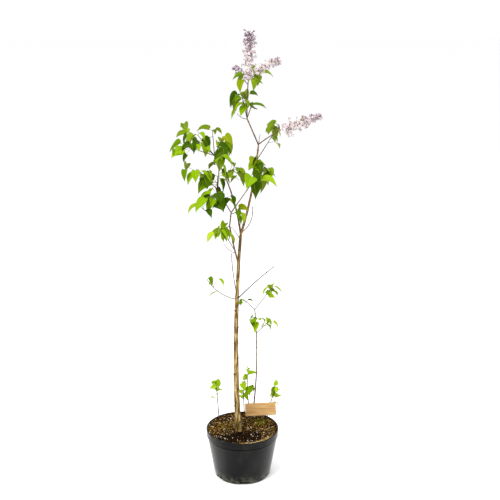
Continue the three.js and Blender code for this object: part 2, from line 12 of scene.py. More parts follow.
import bpy
import numpy as np
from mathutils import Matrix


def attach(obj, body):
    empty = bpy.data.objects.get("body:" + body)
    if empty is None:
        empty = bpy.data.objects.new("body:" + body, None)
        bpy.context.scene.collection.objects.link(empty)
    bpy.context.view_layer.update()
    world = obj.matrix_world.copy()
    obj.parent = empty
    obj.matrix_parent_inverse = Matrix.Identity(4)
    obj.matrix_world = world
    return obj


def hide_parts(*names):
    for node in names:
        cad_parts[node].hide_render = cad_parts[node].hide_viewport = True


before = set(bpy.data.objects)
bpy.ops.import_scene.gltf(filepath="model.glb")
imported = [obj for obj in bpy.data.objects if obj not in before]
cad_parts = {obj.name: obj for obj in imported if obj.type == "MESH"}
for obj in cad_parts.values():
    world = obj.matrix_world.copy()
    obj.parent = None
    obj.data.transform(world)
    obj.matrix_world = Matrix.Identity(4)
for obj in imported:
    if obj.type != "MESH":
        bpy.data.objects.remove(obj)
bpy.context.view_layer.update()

MM = 0.001
UP = np.array([0.0, 0.0, 1.0])
ALONG_X = np.array([1.0, 0.0, 0.0])
NEARLY_UPRIGHT = 0.9

# ---- Driving sizes, as in the part's source ----

GAP = 0.3
POT = dict(
    height=162, rim_radius=120, foot_radius=92.4, wall=1.8, floor=2.4, band_height=24, band_step=3.4,
    notches=6, notch_bearing=-85, notch_width=33, notch_height=10, notch_depth=12,
)
BAND = POT["height"] - POT["band_height"]
SOIL_TOP = 156
LABEL = dict(width=104, height=46, thickness=4, middle=(61, 50, 203.5), tilt=-3,
             stick_width=5, stick_thickness=2.5, stick_x=66, stick_top=212)

# Bearings, rises, lengths and bends come from points read off the photograph, in part through fits.
LIMBS = dict(
    trunk=dict(
        foot=(-13, -12), bearing=44, rise=88.9, length=670, lift=7, sway=9, radii=(10.4, 4.2), flare=0.8,
    ),
    leader_lower=dict(on="trunk", at=1, bearing=15, rise=78.6, length=287, lift=-8, radii=(4.2, 2.5)),
    leader_upper=dict(on="leader_lower", at=1, bearing=-155, rise=65, length=90, radii=(2.2, 1.9)),
    leader_top=dict(on="leader_upper", at=1, bearing=0, rise=88, length=113, lift=2, radii=(1.8, 1.5)),
    right_bough=dict(on="leader_lower", at=1, bearing=-34, rise=32, length=96, lift=2, radii=(1.9, 1.4)),
    left_bough=dict(on="trunk", at=1, bearing=132, rise=62, length=265, lift=16, sway=-4, radii=(3, 1.7)),
    middle_bough=dict(on="trunk", at=0.855, bearing=-132, rise=73, length=138, lift=-2, radii=(2.8, 2.2)),
    middle_bough_top=dict(on="middle_bough", at=1, bearing=-58, rise=78, length=45, radii=(2.1, 1.9)),
    middle_right_bough=dict(on="middle_bough_top", at=1, bearing=-20, rise=55, length=116, radii=(1.8, 1.3)),
    middle_left_bough=dict(on="middle_bough_top", at=1, bearing=-152, rise=59, length=91, radii=(1.7, 1.3)),
    low_right_twig=dict(
        on="trunk", at=0.68, bearing=30, rise=33, length=160, lift=3, radii=(1.9, 1), bud=2.4,
    ),
    side_twig=dict(on="trunk", at=0.7, bearing=-150, rise=82, length=141, lift=-3, radii=(1.5, 1), bud=1.8),
    fork_twig=dict(
        on="leader_lower", at=0.02, bearing=0, rise=66, length=86, lift=-12, radii=(1.3, 0.9), bud=2.4,
    ),
    tall_sucker=dict(foot=(32, 75), bearing=-30, rise=88.5, length=396, lift=-10, sway=5, radii=(2.6, 1.6)),
)
FLARE_LENGTH = 26

SHOOT = dict(
    at=1, leaf=46, stalk=15, bare=0.25, pairs=3, pitch=(-85, -10), radii=(1.4, 0.9),
    fine=(1, 0), tint="bright",
)
# Search programs chose bearing, rise, length, leaf, pairs, seed and fine in these rows, by how well the
# leaves cover those of the photograph. fine is the seed and the number of a mass's fine twigs.
MASSES = dict(
    top_right=dict(on="leader_top", bearing=50, rise=25, length=50, leaf=44, seed=625, fine=(89, 4),
        tint="deep"),
    top_left=dict(on="leader_top", at=0.9, bearing=220, rise=40, length=20, leaf=40, pairs=2, seed=877,
        fine=(957, 2), tint="mid"),
    top_back=dict(on="leader_top", at=0.45, bearing=130, rise=35, length=30, leaf=48, seed=138, fine=(76, 4),
        tint="deep"),
    top_low_left=dict(on="leader_upper", bearing=-145, rise=75, length=70, leaf=42, pairs=5, seed=153,
        fine=(237, 6)),
    top_low_right=dict(on="leader_upper", bearing=40, rise=65, length=40, leaf=48, pairs=4, seed=615,
        fine=(810, 3), tint="mid"),
    right=dict(on="right_bough", at=0.95, bearing=100, rise=50, length=20, leaf=42, pairs=5, seed=83,
        fine=(930, 2), tint="deep"),
    right_side=dict(on="leader_lower", at=0.83, bearing=45, rise=45, length=115, leaf=28, bare=0.65, pairs=2,
        seed=568, fine=(660, 3), tint="mid"),
    upper_left_outer=dict(on="left_bough", bearing=-150, rise=50, length=90, leaf=44, seed=900,
        fine=(179, 9)),
    upper_left_far=dict(on="left_bough", bearing=-165, rise=20, length=100, leaf=50, stalk=22, bare=0.6,
        pairs=2, seed=547, fine=(883, 5)),
    upper_left_top=dict(on="left_bough", bearing=100, rise=60, length=85, leaf=40, stalk=18, bare=0.5,
        pairs=2, seed=626, fine=(673, 2)),
    upper_left_high=dict(on="left_bough", bearing=-210, rise=35, length=145, leaf=40, bare=0.55, seed=703,
        fine=(916, 3)),
    upper_left_inner=dict(on="left_bough", bearing=60, rise=45, length=65, pairs=4, seed=843, fine=(167, 3),
        tint="mid"),
    upper_left_front=dict(on="left_bough", at=0.97, bearing=-65, rise=25, length=65, leaf=44, pairs=4,
        seed=915, fine=(369, 2), tint="mid"),
    upper_left_low=dict(on="left_bough", at=0.75, bearing=5, rise=20, length=40, leaf=42, seed=698,
        fine=(594, 3), tint="deep"),
    middle_left_outer=dict(on="middle_left_bough", bearing=-150, rise=45, length=95, leaf=48, pairs=4,
        seed=352, fine=(777, 2)),
    middle_left_inner=dict(on="middle_left_bough", bearing=90, rise=40, length=50, leaf=42, seed=112,
        fine=(127, 3), tint="deep"),
    middle_left_high=dict(on="middle_left_bough", at=0.95, bearing=-50, rise=85, length=100, leaf=50,
        seed=834, tint="deep"),
    middle_left_low=dict(on="middle_left_bough", at=0.6, bearing=-110, rise=15, length=100, leaf=50, pairs=4,
        seed=909, fine=(410, 5)),
    middle_left_near=dict(on="middle_left_bough", at=0.35, bearing=-85, rise=40, length=40, seed=279,
        fine=(242, 2), tint="mid"),
    lower_left_outer=dict(on="middle_bough", bearing=-105, rise=5, length=105, leaf=40, pairs=4, seed=449,
        fine=(152, 2), tint="lime"),
    lower_left_low=dict(on="middle_bough", at=0.35, bearing=-185, rise=60, length=65, leaf=40, pairs=2,
        seed=597, fine=(852, 2)),
    middle_near=dict(on="middle_bough_top", at=0.9, bearing=-20, rise=20, length=25, leaf=44, pairs=2,
        seed=255, tint="mid"),
    centre_high=dict(on="leader_lower", at=0.72, bearing=-75, rise=55, length=50, leaf=44, pairs=4, seed=744,
        fine=(374, 3), tint="mid"),
    centre_right=dict(on="leader_lower", at=0.62, bearing=30, rise=35, length=50, leaf=40, pairs=4, seed=700,
        fine=(62, 5), tint="mid"),
    centre_left=dict(on="middle_right_bough", bearing=-100, rise=40, length=45, leaf=54, seed=437,
        fine=(76, 2), tint="deep"),
    centre_low=dict(on="middle_right_bough", bearing=20, rise=25, length=30, leaf=58, seed=875,
        fine=(430, 4)),
    low_left=dict(on="trunk", at=0.68, bearing=-160, rise=38, length=125, lift=-12, leaf=32, stalk=12,
        bare=0.45, pairs=4, seed=37, fine=(373, 2), tint="lime"),
    sucker_left=dict(on="tall_sucker", bearing=-145, rise=45, length=65, leaf=28, stalk=10, bare=0.4, pairs=2,
        seed=522, fine=(665, 2)),
    sucker_right=dict(on="tall_sucker", bearing=15, rise=50, length=95, leaf=36, stalk=12, bare=0.5, seed=202,
        fine=(498, 2), tint="lime"),
    sucker_side=dict(on="tall_sucker", at=0.79, bearing=60, rise=10, length=90, leaf=30, stalk=12, bare=0.4,
        seed=824, fine=(638, 2), tint="lime"),
    sucker_middle=dict(on="tall_sucker", at=0.87, bearing=205, rise=65, length=20, leaf=34, stalk=10,
        seed=209, fine=(830, 6)),
    sucker_low=dict(on="tall_sucker", at=0.28, bearing=-90, rise=50, length=20, leaf=22, stalk=7, pairs=2,
        seed=129),
    sprout_left=dict(foot=(-79, 60), bearing=180, rise=86, length=124, pitch=(-25, 35), leaf=30, stalk=8,
        bare=0.62, radii=(1.8, 1.2), seed=224, fine=(455, 4), tint="young"),
    sprout_near=dict(foot=(6, 94), bearing=174, rise=88, length=121, pitch=(-60, 20), leaf=30, stalk=8,
        bare=0.35, pairs=4, radii=(1.8, 1.2), seed=436, fine=(839, 3), tint="lime"),
    sprout_tall=dict(foot=(28, 90), bearing=184, rise=87, length=175, lift=-6, pitch=(-60, 20), leaf=32,
        stalk=8, pairs=6, radii=(1.7, 1.1), seed=371, fine=(955, 2), tint="lime"),
    sprout_right=dict(foot=(82, 66), bearing=-2, rise=75, length=126, lift=4, pitch=(-50, 30), leaf=30,
        stalk=8, bare=0.35, pairs=4, radii=(1.8, 1.2), seed=29, fine=(676, 3), tint="lime"),
)

HEAD = dict(bare=0.2, taper=0.3, radii=(1.3, 0.8), seed=1)
FLOWER_HEADS = dict(
    flowers_top=dict(
        on="leader_top", at=1, bearing=60, rise=87, length=136, width=50, whorls=10, bare=0.3, taper=0.15,
    ),
    flowers_top_right=dict(
        on="leader_top", at=1, bearing=-12, rise=33, length=107, lift=11, width=42, whorls=8, bare=0.3,
    ),
    flowers_top_left=dict(
        on="leader_top", at=1, bearing=164, rise=42, length=52, width=36, whorls=4, bare=0.45,
    ),
    flowers_top_front=dict(
        on="leader_top", at=1, bearing=-87, rise=43, length=48, width=42, whorls=4, bare=0.4,
    ),
    flowers_right=dict(
        on="right_bough", at=1, bearing=-13, rise=21, length=122, width=66, whorls=10, bare=0.06, taper=0.65,
    ),
)
FLORET = dict(length=12, spacing=15, turn=25, lean=(52, 78), inset=(0.6, 0.95), rise=(-0.4, 0.8), shortest=2)
FLORET_SUNK = 0.5
FLORET_TESTED = 5

BLADE = dict(width=0.36, skew=0.6, narrowing=0.35)
HABIT = dict(
    turn=45, lean=(40, 75), heading=40, size=(0.7, 1.15), stalk=(0.6, 1.3),
    curl=(15, 70), roll=45, fold=(12, 42),
)
KEPT = 0.92
CLEAR_OF_WOOD = 2.5
CLEAR_OF_LEAVES = 6
REACH = 1.5
TESTED_STEP = 4
TESTED_ALONG = (0.04, 0.14, 0.26, 0.38, 0.5, 0.62, 0.75, 0.88, 1)
TESTED_ACROSS = (-1, -0.5, 0, 0.5, 1)

# ---- The growth rule, as in the part's source ----


def seeded(seed):
    """Draws evenly spread numbers that depend on the seed alone."""
    modulus = 2147483647
    state = seed * 7919 % modulus

    def draw(low, high):
        nonlocal state
        state = state * 16807 % modulus
        return low + (high - low) * state / modulus

    draw(0, 1)
    return draw


def unit(vector):
    return vector / np.linalg.norm(vector, axis=-1, keepdims=True)


def direction(bearing, rise):
    b, r = math.radians(bearing), math.radians(rise)
    return np.array([math.cos(r) * math.cos(b), math.cos(r) * math.sin(b), math.sin(r)])


class Stem:
    """The axis of a limb, shoot or stalk, with a frame that turns with it."""

    def __init__(self, foot, /, bearing, rise, length, lift=0, sway=0, **_):
        ahead = direction(bearing, rise)
        self.side0 = direction(bearing + 90, 0)
        tip = foot + ahead * length
        knee = (foot + tip) / 2 + np.cross(ahead, self.side0) * 2 * lift + self.side0 * 2 * sway
        self.knots = (foot, knee, tip)
        self.length = length

    def point(self, s):
        s = np.asarray(s, float)[..., None]
        foot, knee, tip = self.knots
        return (1 - s) ** 2 * foot + 2 * s * (1 - s) * knee + s**2 * tip

    def frame(self, s):
        s = np.asarray(s, float)[..., None]
        foot, knee, tip = self.knots
        ahead = unit((1 - s) * (knee - foot) + s * (tip - knee))
        up = unit(np.cross(ahead, self.side0))
        return ahead, up, np.cross(up, ahead)

    def leaning(self, s, turn, lean):
        """The direction that leans away from the stem at s, turned about it."""
        ahead, up, side = self.frame(s)
        turn, lean = math.radians(turn), math.radians(lean)
        away = side * math.cos(turn) + up * math.sin(turn)
        return ahead * math.cos(lean) + away * math.sin(lean)


def half_width(along):
    """Half the width of a heart-shaped blade at a share of its length, both in blade lengths."""
    return BLADE["width"] * np.sin(math.pi * along ** BLADE["skew"]) * (1 - BLADE["narrowing"] * along)


class Leaf:
    """A blade that arches over along its rib, is rolled about it and folded up at its sides."""

    def __init__(self, node, stalk, heading, size, pitch, curl, roll, fold):
        self.node = node
        self.foot = node + stalk
        self.size = size
        self.head = direction(heading, 0)
        self.across = direction(heading + 90, 0)
        self.curl = math.radians(curl)
        self.start = math.radians(pitch) + self.curl / 2
        self.roll = math.radians(roll)
        self.fold = math.radians(fold)

    def axes(self, along):
        """The directions out to the side and off the blade at a share of its length."""
        slope = self.start - self.curl * along
        facing = -np.sin(slope)[..., None] * self.head + np.cos(slope)[..., None] * UP
        over = self.across * math.cos(self.roll) + facing * math.sin(self.roll)
        return over, facing * math.cos(self.roll) - self.across * math.sin(self.roll)

    def point(self, along, out, off=0.0):
        """A point, along and out from the foot in blade lengths, and off the middle surface in mm."""
        along, out, off = np.broadcast_arrays(*np.atleast_1d(along, out, off))
        slope = self.start - self.curl * along
        radius = self.size / self.curl
        over, facing = self.axes(along)
        rib = (
            self.foot
            + (radius * (math.sin(self.start) - np.sin(slope)))[..., None] * self.head
            + (radius * (np.cos(slope) - math.cos(self.start)))[..., None] * UP
        )
        rise = np.abs(out) * self.size * math.sin(self.fold) + off
        return rib + (out * self.size * math.cos(self.fold))[..., None] * over + rise[..., None] * facing

    def tested(self):
        stalk = [self.node + (self.foot - self.node) * on for on in (0.5, 0.9)]
        along, share = (np.array(v, float) for v in zip(*itertools.product(TESTED_ALONG, TESTED_ACROSS)))
        return np.concatenate([stalk, self.point(along, share * half_width(along))])


def about(draw, reach):
    """A number drawn this far either way of nought."""
    return draw(-reach, reach)


def leaf_pair(draw, stem, s, quarter, shoot):
    """A pair of leaves at s on a shoot. Now and then one of them has been lost."""
    turn = quarter + about(draw, HABIT["turn"])
    leaves = []
    for half in (0, 180):
        stalk = stem.leaning(s, turn + half, draw(*HABIT["lean"]))
        heading = math.degrees(math.atan2(stalk[1], stalk[0])) + about(draw, HABIT["heading"])
        size = shoot["leaf"] * draw(*HABIT["size"])
        stalk = stalk * shoot["stalk"] * draw(*HABIT["stalk"])
        pitch, curl = draw(*shoot["pitch"]), draw(*HABIT["curl"])
        roll, fold = about(draw, HABIT["roll"]), draw(*HABIT["fold"])
        if draw(0, 1) < KEPT:
            leaves.append(Leaf(stem.point(s), stalk, heading, size, pitch, curl, roll, fold))
    return leaves


def node_shares(shoot):
    """Where the pairs of leaves stand on a shoot, from its tip down to its bare part."""
    return [1 - (1 - shoot["bare"]) * k / shoot["pairs"] for k in range(shoot["pairs"])]


def leaves_of(stem, shoot):
    draw = seeded(shoot["seed"])
    return [
        leaf
        for k, s in enumerate(node_shares(shoot))
        for leaf in leaf_pair(draw, stem, s, 90 * k, shoot)
    ]


def florets_of(stem, head):
    """The florets of a head as (root, ahead, length of its own branchlet or 0, share along the head)."""
    draw = seeded(head["seed"])
    florets = [(stem.point(1), stem.frame(1)[0], 0, 1)]
    for k in range(head["whorls"]):
        share = k / (head["whorls"] - 1)
        s = head["bare"] + (1 - head["bare"]) * share
        width = head["width"] * (1 - head["taper"] * share**1.5)
        for half in (0, 180):
            turn = 90 * k + half + about(draw, FLORET["turn"])
            ahead = stem.leaning(s, turn, draw(*FLORET["lean"]))
            length = max(FLORET["shortest"], width / 2 - FLORET["length"] * draw(*FLORET["inset"]))
            foot = stem.point(s)
            florets.append((foot + ahead * length, ahead, length + FLORET_SUNK, share))
            on = length - FLORET["spacing"]
            while on > 0:
                for side in (-1, 1):
                    across = unit(np.cross(ahead, UP)) * side
                    across = unit(across + ahead + UP * draw(*FLORET["rise"]))
                    florets.append((foot + ahead * on, across, 0, share))
                on -= FLORET["spacing"]
    return florets


stems = {}


def foot_of(part):
    """Where a stem starts: on another stem, or at its foot in the soil."""
    if "on" in part:
        return stems[part["on"]].point(part["at"])
    return np.array([*part["foot"], SOIL_TOP + GAP], float)


shoots = {name: {**SHOOT, **mass} for name, mass in MASSES.items()}
heads = {name: {**HEAD, **head} for name, head in FLOWER_HEADS.items()}
wood = {**LIMBS, **shoots, **heads}
for name, part in wood.items():
    stems[name] = Stem(foot_of(part), **part)


def taper(part, s):
    thick, thin = part["radii"]
    return thick + (thin - thick) * s


def wood_points():
    """Points along all axes with their radii and the names they belong to, for the clearance of leaves."""
    points, radii, names = [], [], []
    for name, part in wood.items():
        s = np.linspace(0, 1, math.ceil(part["length"] / TESTED_STEP) + 1)
        points.append(stems[name].point(s))
        radii.append(taper(part, s))
        names += [name] * len(s)
    return np.concatenate(points), np.concatenate(radii), np.array(names)


WOOD_AT, WOOD_RADII, WOOD_NAMES = wood_points()


def nearest(points, others):
    """The distance from each of others to the nearest of points."""
    return np.linalg.norm(points[:, None] - others[None], axis=2).min(0)


def is_clear(points, name, grown):
    """Whether all points are clear of the wood of other limbs, masses and heads, and of their growth."""
    away = nearest(points, WOOD_AT) - WOOD_RADII - CLEAR_OF_WOOD
    if np.any((away <= 0) & (WOOD_NAMES != name)):
        return False
    return not grown or nearest(points, np.concatenate(grown)).min() > CLEAR_OF_LEAVES


def has_room(leaf, name, grown):
    """A leaf is grown only in its mass's own space, a ball round the leafy part of the shoot."""
    shoot = shoots[name]
    middle = stems[name].point((1 + shoot["bare"]) / 2)
    reach = (1 - shoot["bare"]) * shoot["length"] / 2 + REACH * shoot["leaf"]
    points = leaf.tested()
    return np.linalg.norm(points - middle, axis=1).max() < reach and is_clear(points, name, grown)


def floret_points(root, ahead, back):
    """Points along a floret and its own branchlet, for the clearance of others."""
    on = np.linspace(0, 1, FLORET_TESTED)[:, None] * (FLORET["length"] + back) - back
    return root + ahead * on


def grow():
    """The florets and leaves that find room, head by head and mass by mass, as in the part's source."""
    florets, leaves, grown = {}, {}, []
    for name in heads:
        kept = []
        for floret in florets_of(stems[name], heads[name]):
            points = floret_points(*floret[:3])
            if is_clear(points, name, grown):
                kept.append((floret, points))
        florets[name] = [floret for floret, _ in kept]
        grown += [points for _, points in kept]
    for name in shoots:
        leaves[name] = [leaf for leaf in leaves_of(stems[name], shoots[name]) if has_room(leaf, name, grown)]
        grown += [leaf.tested() for leaf in leaves[name]]
    return florets, leaves


florets, leaves = grow()

# ---- Fine growth: twigs with a pair of leaves each, within each mass's own space ----

FINE = dict(twig=(6, 42), lean=(20, 75), leaf=(0.5, 1.0), stalk=0.7, foot=0.8)
FULL_LEAF = 46
CLEAR_OF_OWN = 2.5


def twig_from(foot, ahead, length):
    """A short straight stem."""
    bearing = math.degrees(math.atan2(ahead[1], ahead[0]))
    return Stem(foot, bearing, math.degrees(math.asin(ahead[2])), length)


def fine_growth(name, others, own):
    """The fine twigs of a mass and their leaves, clear of the points of others and, less so, of its own."""
    shoot, stem = shoots[name], stems[name]
    seed, count = shoot["fine"]
    draw = seeded(seed)
    grown, kept = [], []
    for _ in range(count):
        s = draw(FINE["foot"] * shoot["bare"], 1)
        ahead = stem.leaning(s, draw(0, 360), draw(*FINE["lean"]))
        twig = twig_from(stem.point(s), ahead, draw(*FINE["twig"]) * shoot["leaf"] / FULL_LEAF)
        size = shoot["leaf"] * draw(*FINE["leaf"])
        small = dict(leaf=size, stalk=shoot["stalk"] * FINE["stalk"], pitch=shoot["pitch"])
        pair = leaf_pair(draw, twig, 1, draw(0, 180), small)
        found = False
        for leaf in pair:
            points = leaf.tested()
            if has_room(leaf, name, others) and nearest(points, np.concatenate(own)).min() > CLEAR_OF_OWN:
                own.append(points)
                kept.append(leaf)
                found = True
        if found:
            grown.append(twig)
    return grown, kept


def grow_fine():
    """The fine twigs and leaves of all masses, each clear of all that the others have grown."""
    points = {name: [leaf.tested() for leaf in leaves[name]] for name in shoots}
    blooms = [floret_points(*floret[:3]) for name in heads for floret in florets[name]]
    twigs, fine = {}, {}
    for name in shoots:
        others = blooms + [each for other in shoots if other != name for each in points[other]]
        twigs[name], fine[name] = fine_growth(name, others, points[name])
    return twigs, fine


twigs, fine_leaves = grow_fine()

# ---- Shapes: points in millimetres, and faces as runs of corners with a material each ----


class Shape:
    """Points, the corners of all faces in a row, and each face's number of corners and material."""

    def __init__(self, points, corners, sizes, kinds):
        self.points, self.corners, self.sizes, self.kinds = points, corners, sizes, kinds

    def copies(self, roots, frames, sizes):
        """The shape at each root, with its axes along the rows of each frame."""
        placed = np.einsum("pk,nkc->npc", self.points, frames) * np.reshape(sizes, (-1, 1, 1))
        points = (placed + roots[:, None]).reshape(-1, 3)
        first = np.arange(len(roots))[:, None] * len(self.points)
        corners = (self.corners[None] + first).ravel()
        return Shape(points, corners, np.tile(self.sizes, len(roots)), np.tile(self.kinds, len(roots)))


def loft(rings, kinds=0):
    """A closed body through rings of points, with kinds for the strips between them."""
    rows, around = rings.shape[:2]
    index = np.arange(rows * around).reshape(rows, around)
    after = np.roll(index, -1, axis=1)
    quads = np.stack([index[:-1], after[:-1], after[1:], index[1:]], axis=-1)
    kinds = np.broadcast_to(kinds, (rows - 1, around))
    corners = np.concatenate([quads.ravel(), index[0, ::-1], index[-1]])
    sizes = np.array([4] * kinds.size + [around] * 2)
    kinds = np.concatenate([kinds.ravel(), kinds[0, :1], kinds[-1, :1]])
    return Shape(rings.reshape(-1, 3), corners, sizes, kinds)


def together(shapes):
    """The shapes as one."""
    first = np.cumsum([0] + [len(shape.points) for shape in shapes[:-1]])
    return Shape(
        np.concatenate([shape.points for shape in shapes]),
        np.concatenate([shape.corners + start for shape, start in zip(shapes, first)]),
        np.concatenate([shape.sizes for shape in shapes]),
        np.concatenate([shape.kinds for shape in shapes]),
    )


def mesh_object(name, shapes, smooth=True):
    """The shapes as one object, in metres."""
    shape = together(shapes)
    mesh = bpy.data.meshes.new(name)
    mesh.vertices.add(len(shape.points))
    mesh.vertices.foreach_set("co", (shape.points * MM).ravel())
    mesh.loops.add(len(shape.corners))
    mesh.loops.foreach_set("vertex_index", shape.corners)
    mesh.polygons.add(len(shape.sizes))
    mesh.polygons.foreach_set("loop_start", np.cumsum(np.append(0, shape.sizes[:-1])))
    mesh.polygons.foreach_set("material_index", shape.kinds)
    mesh.polygons.foreach_set("use_smooth", np.full(len(shape.sizes), smooth))
    mesh.update(calc_edges=True)
    mesh.validate()
    made = bpy.data.objects.new(name, mesh)
    bpy.context.scene.collection.objects.link(made)
    return made


def dressed(made, slot, nodes, *materials):
    """Makes an object a piece of the plant that stands for these CAD nodes."""
    for material in materials:
        made.data.materials.append(material)
    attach(made, "root")
    if nodes:
        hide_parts(*nodes)


def piece(name, shapes, slot, nodes, *materials, smooth=True):
    """The shapes as one piece of the plant that stands for these CAD nodes."""
    dressed(mesh_object(name, shapes, smooth), slot, nodes, *materials)


def frames_along(ahead, turns):
    """Right-handed frames, each with its third axis ahead and turned about it."""
    helper = np.where(np.abs(ahead[:, 2:]) < NEARLY_UPRIGHT, UP, ALONG_X)
    side = unit(np.cross(helper, ahead))
    up = np.cross(ahead, side)
    cos, sin = np.cos(turns)[:, None], np.sin(turns)[:, None]
    return np.stack([side * cos + up * sin, up * cos - side * sin, ahead], axis=1)


def circle(sides):
    """The bearings of points spread evenly round a circle, in radians."""
    return np.linspace(0, 2 * math.pi, sides, endpoint=False)


def ring(sides):
    """Points spread evenly round a flat circle of radius 1."""
    turn = circle(sides)
    return np.stack([np.cos(turn), np.sin(turn), np.zeros(sides)], axis=-1)


def turned(profile, sides):
    """A body of revolution about +Z through (radius, height) pairs."""
    profile = np.asarray(profile, float)
    return loft(ring(sides)[None] * profile[:, :1, None] + UP * profile[:, 1:, None])


def around_stem(stem, s, radius):
    """Rings of points round a stem. radius has a row for each s and a column for each side."""
    _, up, side = stem.frame(s)
    turn = circle(radius.shape[1])[:, None]
    out = side[:, None] * np.cos(turn) + up[:, None] * np.sin(turn)
    return stem.point(s)[:, None] + out * radius[..., None]


def hashed(cells, seed):
    """A number between 0 and 1 for each cell, as if by chance."""
    value = np.sin(cells @ np.array([127.1, 311.7, 74.7]) + seed * 19.19) * 43758.5453
    return value - np.floor(value)


def noise(points, size, seed=0):
    """Smooth noise between -1 and 1 at points, with features of this size."""
    at = points / np.asarray(size, float)
    cell = np.floor(at)
    share = at - cell
    share = share**2 * (3 - 2 * share)
    total = 0
    for corner in itertools.product((0, 1), repeat=3):
        weight = np.prod(np.where(corner, share, 1 - share), axis=-1)
        total = total + weight * hashed(cell + corner, seed)
    return 2 * total - 1


# ---- Materials ----


def srgb(*color):
    """A colour as it looks on a screen, in 255ths, as the linear one that shaders take."""
    share = np.array(color) / 255
    return (*np.where(share < 0.04045, share / 12.92, ((share + 0.055) / 1.055) ** 2.4).tolist(), 1.0)


def feed(tree, made, **inputs):
    """Sets a node's inputs, or links them from outputs. An underscore in a name stands for a space."""
    for name, value in inputs.items():
        socket = made.inputs[name.replace("_", " ")]
        if isinstance(value, bpy.types.NodeSocket):
            tree.links.new(value, socket)
        else:
            socket.default_value = value


def node(tree, kind, **inputs):
    """A new shader node of this kind."""
    made = tree.nodes.new("ShaderNode" + kind)
    feed(tree, made, **inputs)
    return made


RAMP_ENDS = (0.34, 0.66)
CLOUD_ENDS = (0.42, 0.62)


def ramp(tree, pattern, colors):
    """The colours that a pattern runs through, as an output."""
    made = node(tree, "ValToRGB", Fac=pattern)
    stops = made.color_ramp.elements
    while len(stops) < len(colors):
        stops.new(0.5)
    for stop, at, color in zip(stops, np.linspace(*RAMP_ENDS, len(colors)), colors):
        stop.position = at
        stop.color = color
    return made.outputs["Color"]


def material(name, colors, roughness, size, relief, rough_range=0.0, **sockets):
    """A shader mottled by a noise with features of this size in millimetres and bumps as high as relief.

    colors are one plain colour, or several that the noise runs through. rough_range is how far the roughness
    moves with the noise.
    """
    made = bpy.data.materials.new(name)
    made.use_nodes = True
    tree = made.node_tree
    place = node(tree, "TexCoord").outputs["Object"]
    scaled = node(tree, "Mapping", Vector=place, Scale=[1 / (each * MM) for each in size]).outputs["Vector"]
    pattern = node(tree, "TexNoise", Vector=scaled, Scale=1, Detail=4, Roughness=0.6).outputs["Fac"]
    color = ramp(tree, pattern, colors) if len(colors) > 1 else colors[0]
    if rough_range:
        ends = dict(To_Min=roughness - rough_range, To_Max=roughness + rough_range)
        roughness = node(tree, "MapRange", Value=pattern, **ends).outputs["Result"]
    bump = node(tree, "Bump", Height=pattern, Distance=relief * MM).outputs["Normal"]
    shader = tree.nodes["Principled BSDF"]
    feed(tree, shader, Base_Color=color, Roughness=roughness, Normal=bump, **sockets)
    return made


def faded(made, color, start, end, share, patches):
    """Fades a material into this share of another colour, in patches, from a start to an end height in mm."""
    tree = made.node_tree
    shader = tree.nodes["Principled BSDF"]
    base = shader.inputs["Base Color"].links[0].from_socket
    place = node(tree, "TexCoord").outputs["Object"]
    height = node(tree, "SeparateXYZ", Vector=place).outputs["Z"]
    fade = node(tree, "MapRange", Value=height, From_Min=start * MM, From_Max=end * MM, To_Max=share)
    cloud = node(tree, "TexNoise", Vector=place, Scale=1 / (patches * MM)).outputs["Fac"]
    spread = node(tree, "MapRange", Value=cloud, From_Min=CLOUD_ENDS[0], From_Max=CLOUD_ENDS[1])
    broken = node(tree, "Math")
    broken.operation = "MULTIPLY"
    tree.links.new(fade.outputs["Result"], broken.inputs[0])
    tree.links.new(spread.outputs["Result"], broken.inputs[1])
    mix = node(tree, "MixRGB", Fac=broken.outputs["Value"], Color1=base, Color2=color)
    feed(tree, shader, Base_Color=mix.outputs["Color"])
    return made


# ---- Wood ----

BARK_STEP = 2.5
TRUNK_SIDES = 40
BOUGH_SIDES = 18
BURIED = 4
FLUTES = dict(number=5, depth=0.035, drift=2.5, length=140)
GRAIN = dict(depth=0.05, fine=(3, 3, 24), broad=(9, 9, 30))
PORE = dict(height=0.14, level=0.35, size=(1.2, 1.2, 2.4))
NODE = dict(spacing=52, first=0.6, vary=(0.85, 0.3), clear_of_tip=8)
SCAR = dict(facing=0.45, half=3.4)
BUD_LEAN = 32
TIP_BUD, SIDE_BUD = 0.8, 0.55
SUCKER_BUDS = dict(shares=(0.2, 0.36, 0.52, 0.66), size=1.2, turn=50)


def ring_at(z, at, width):
    """A bump of height 1 round at, about twice as long as width."""
    return np.exp(-(((z - at) / width) ** 2))


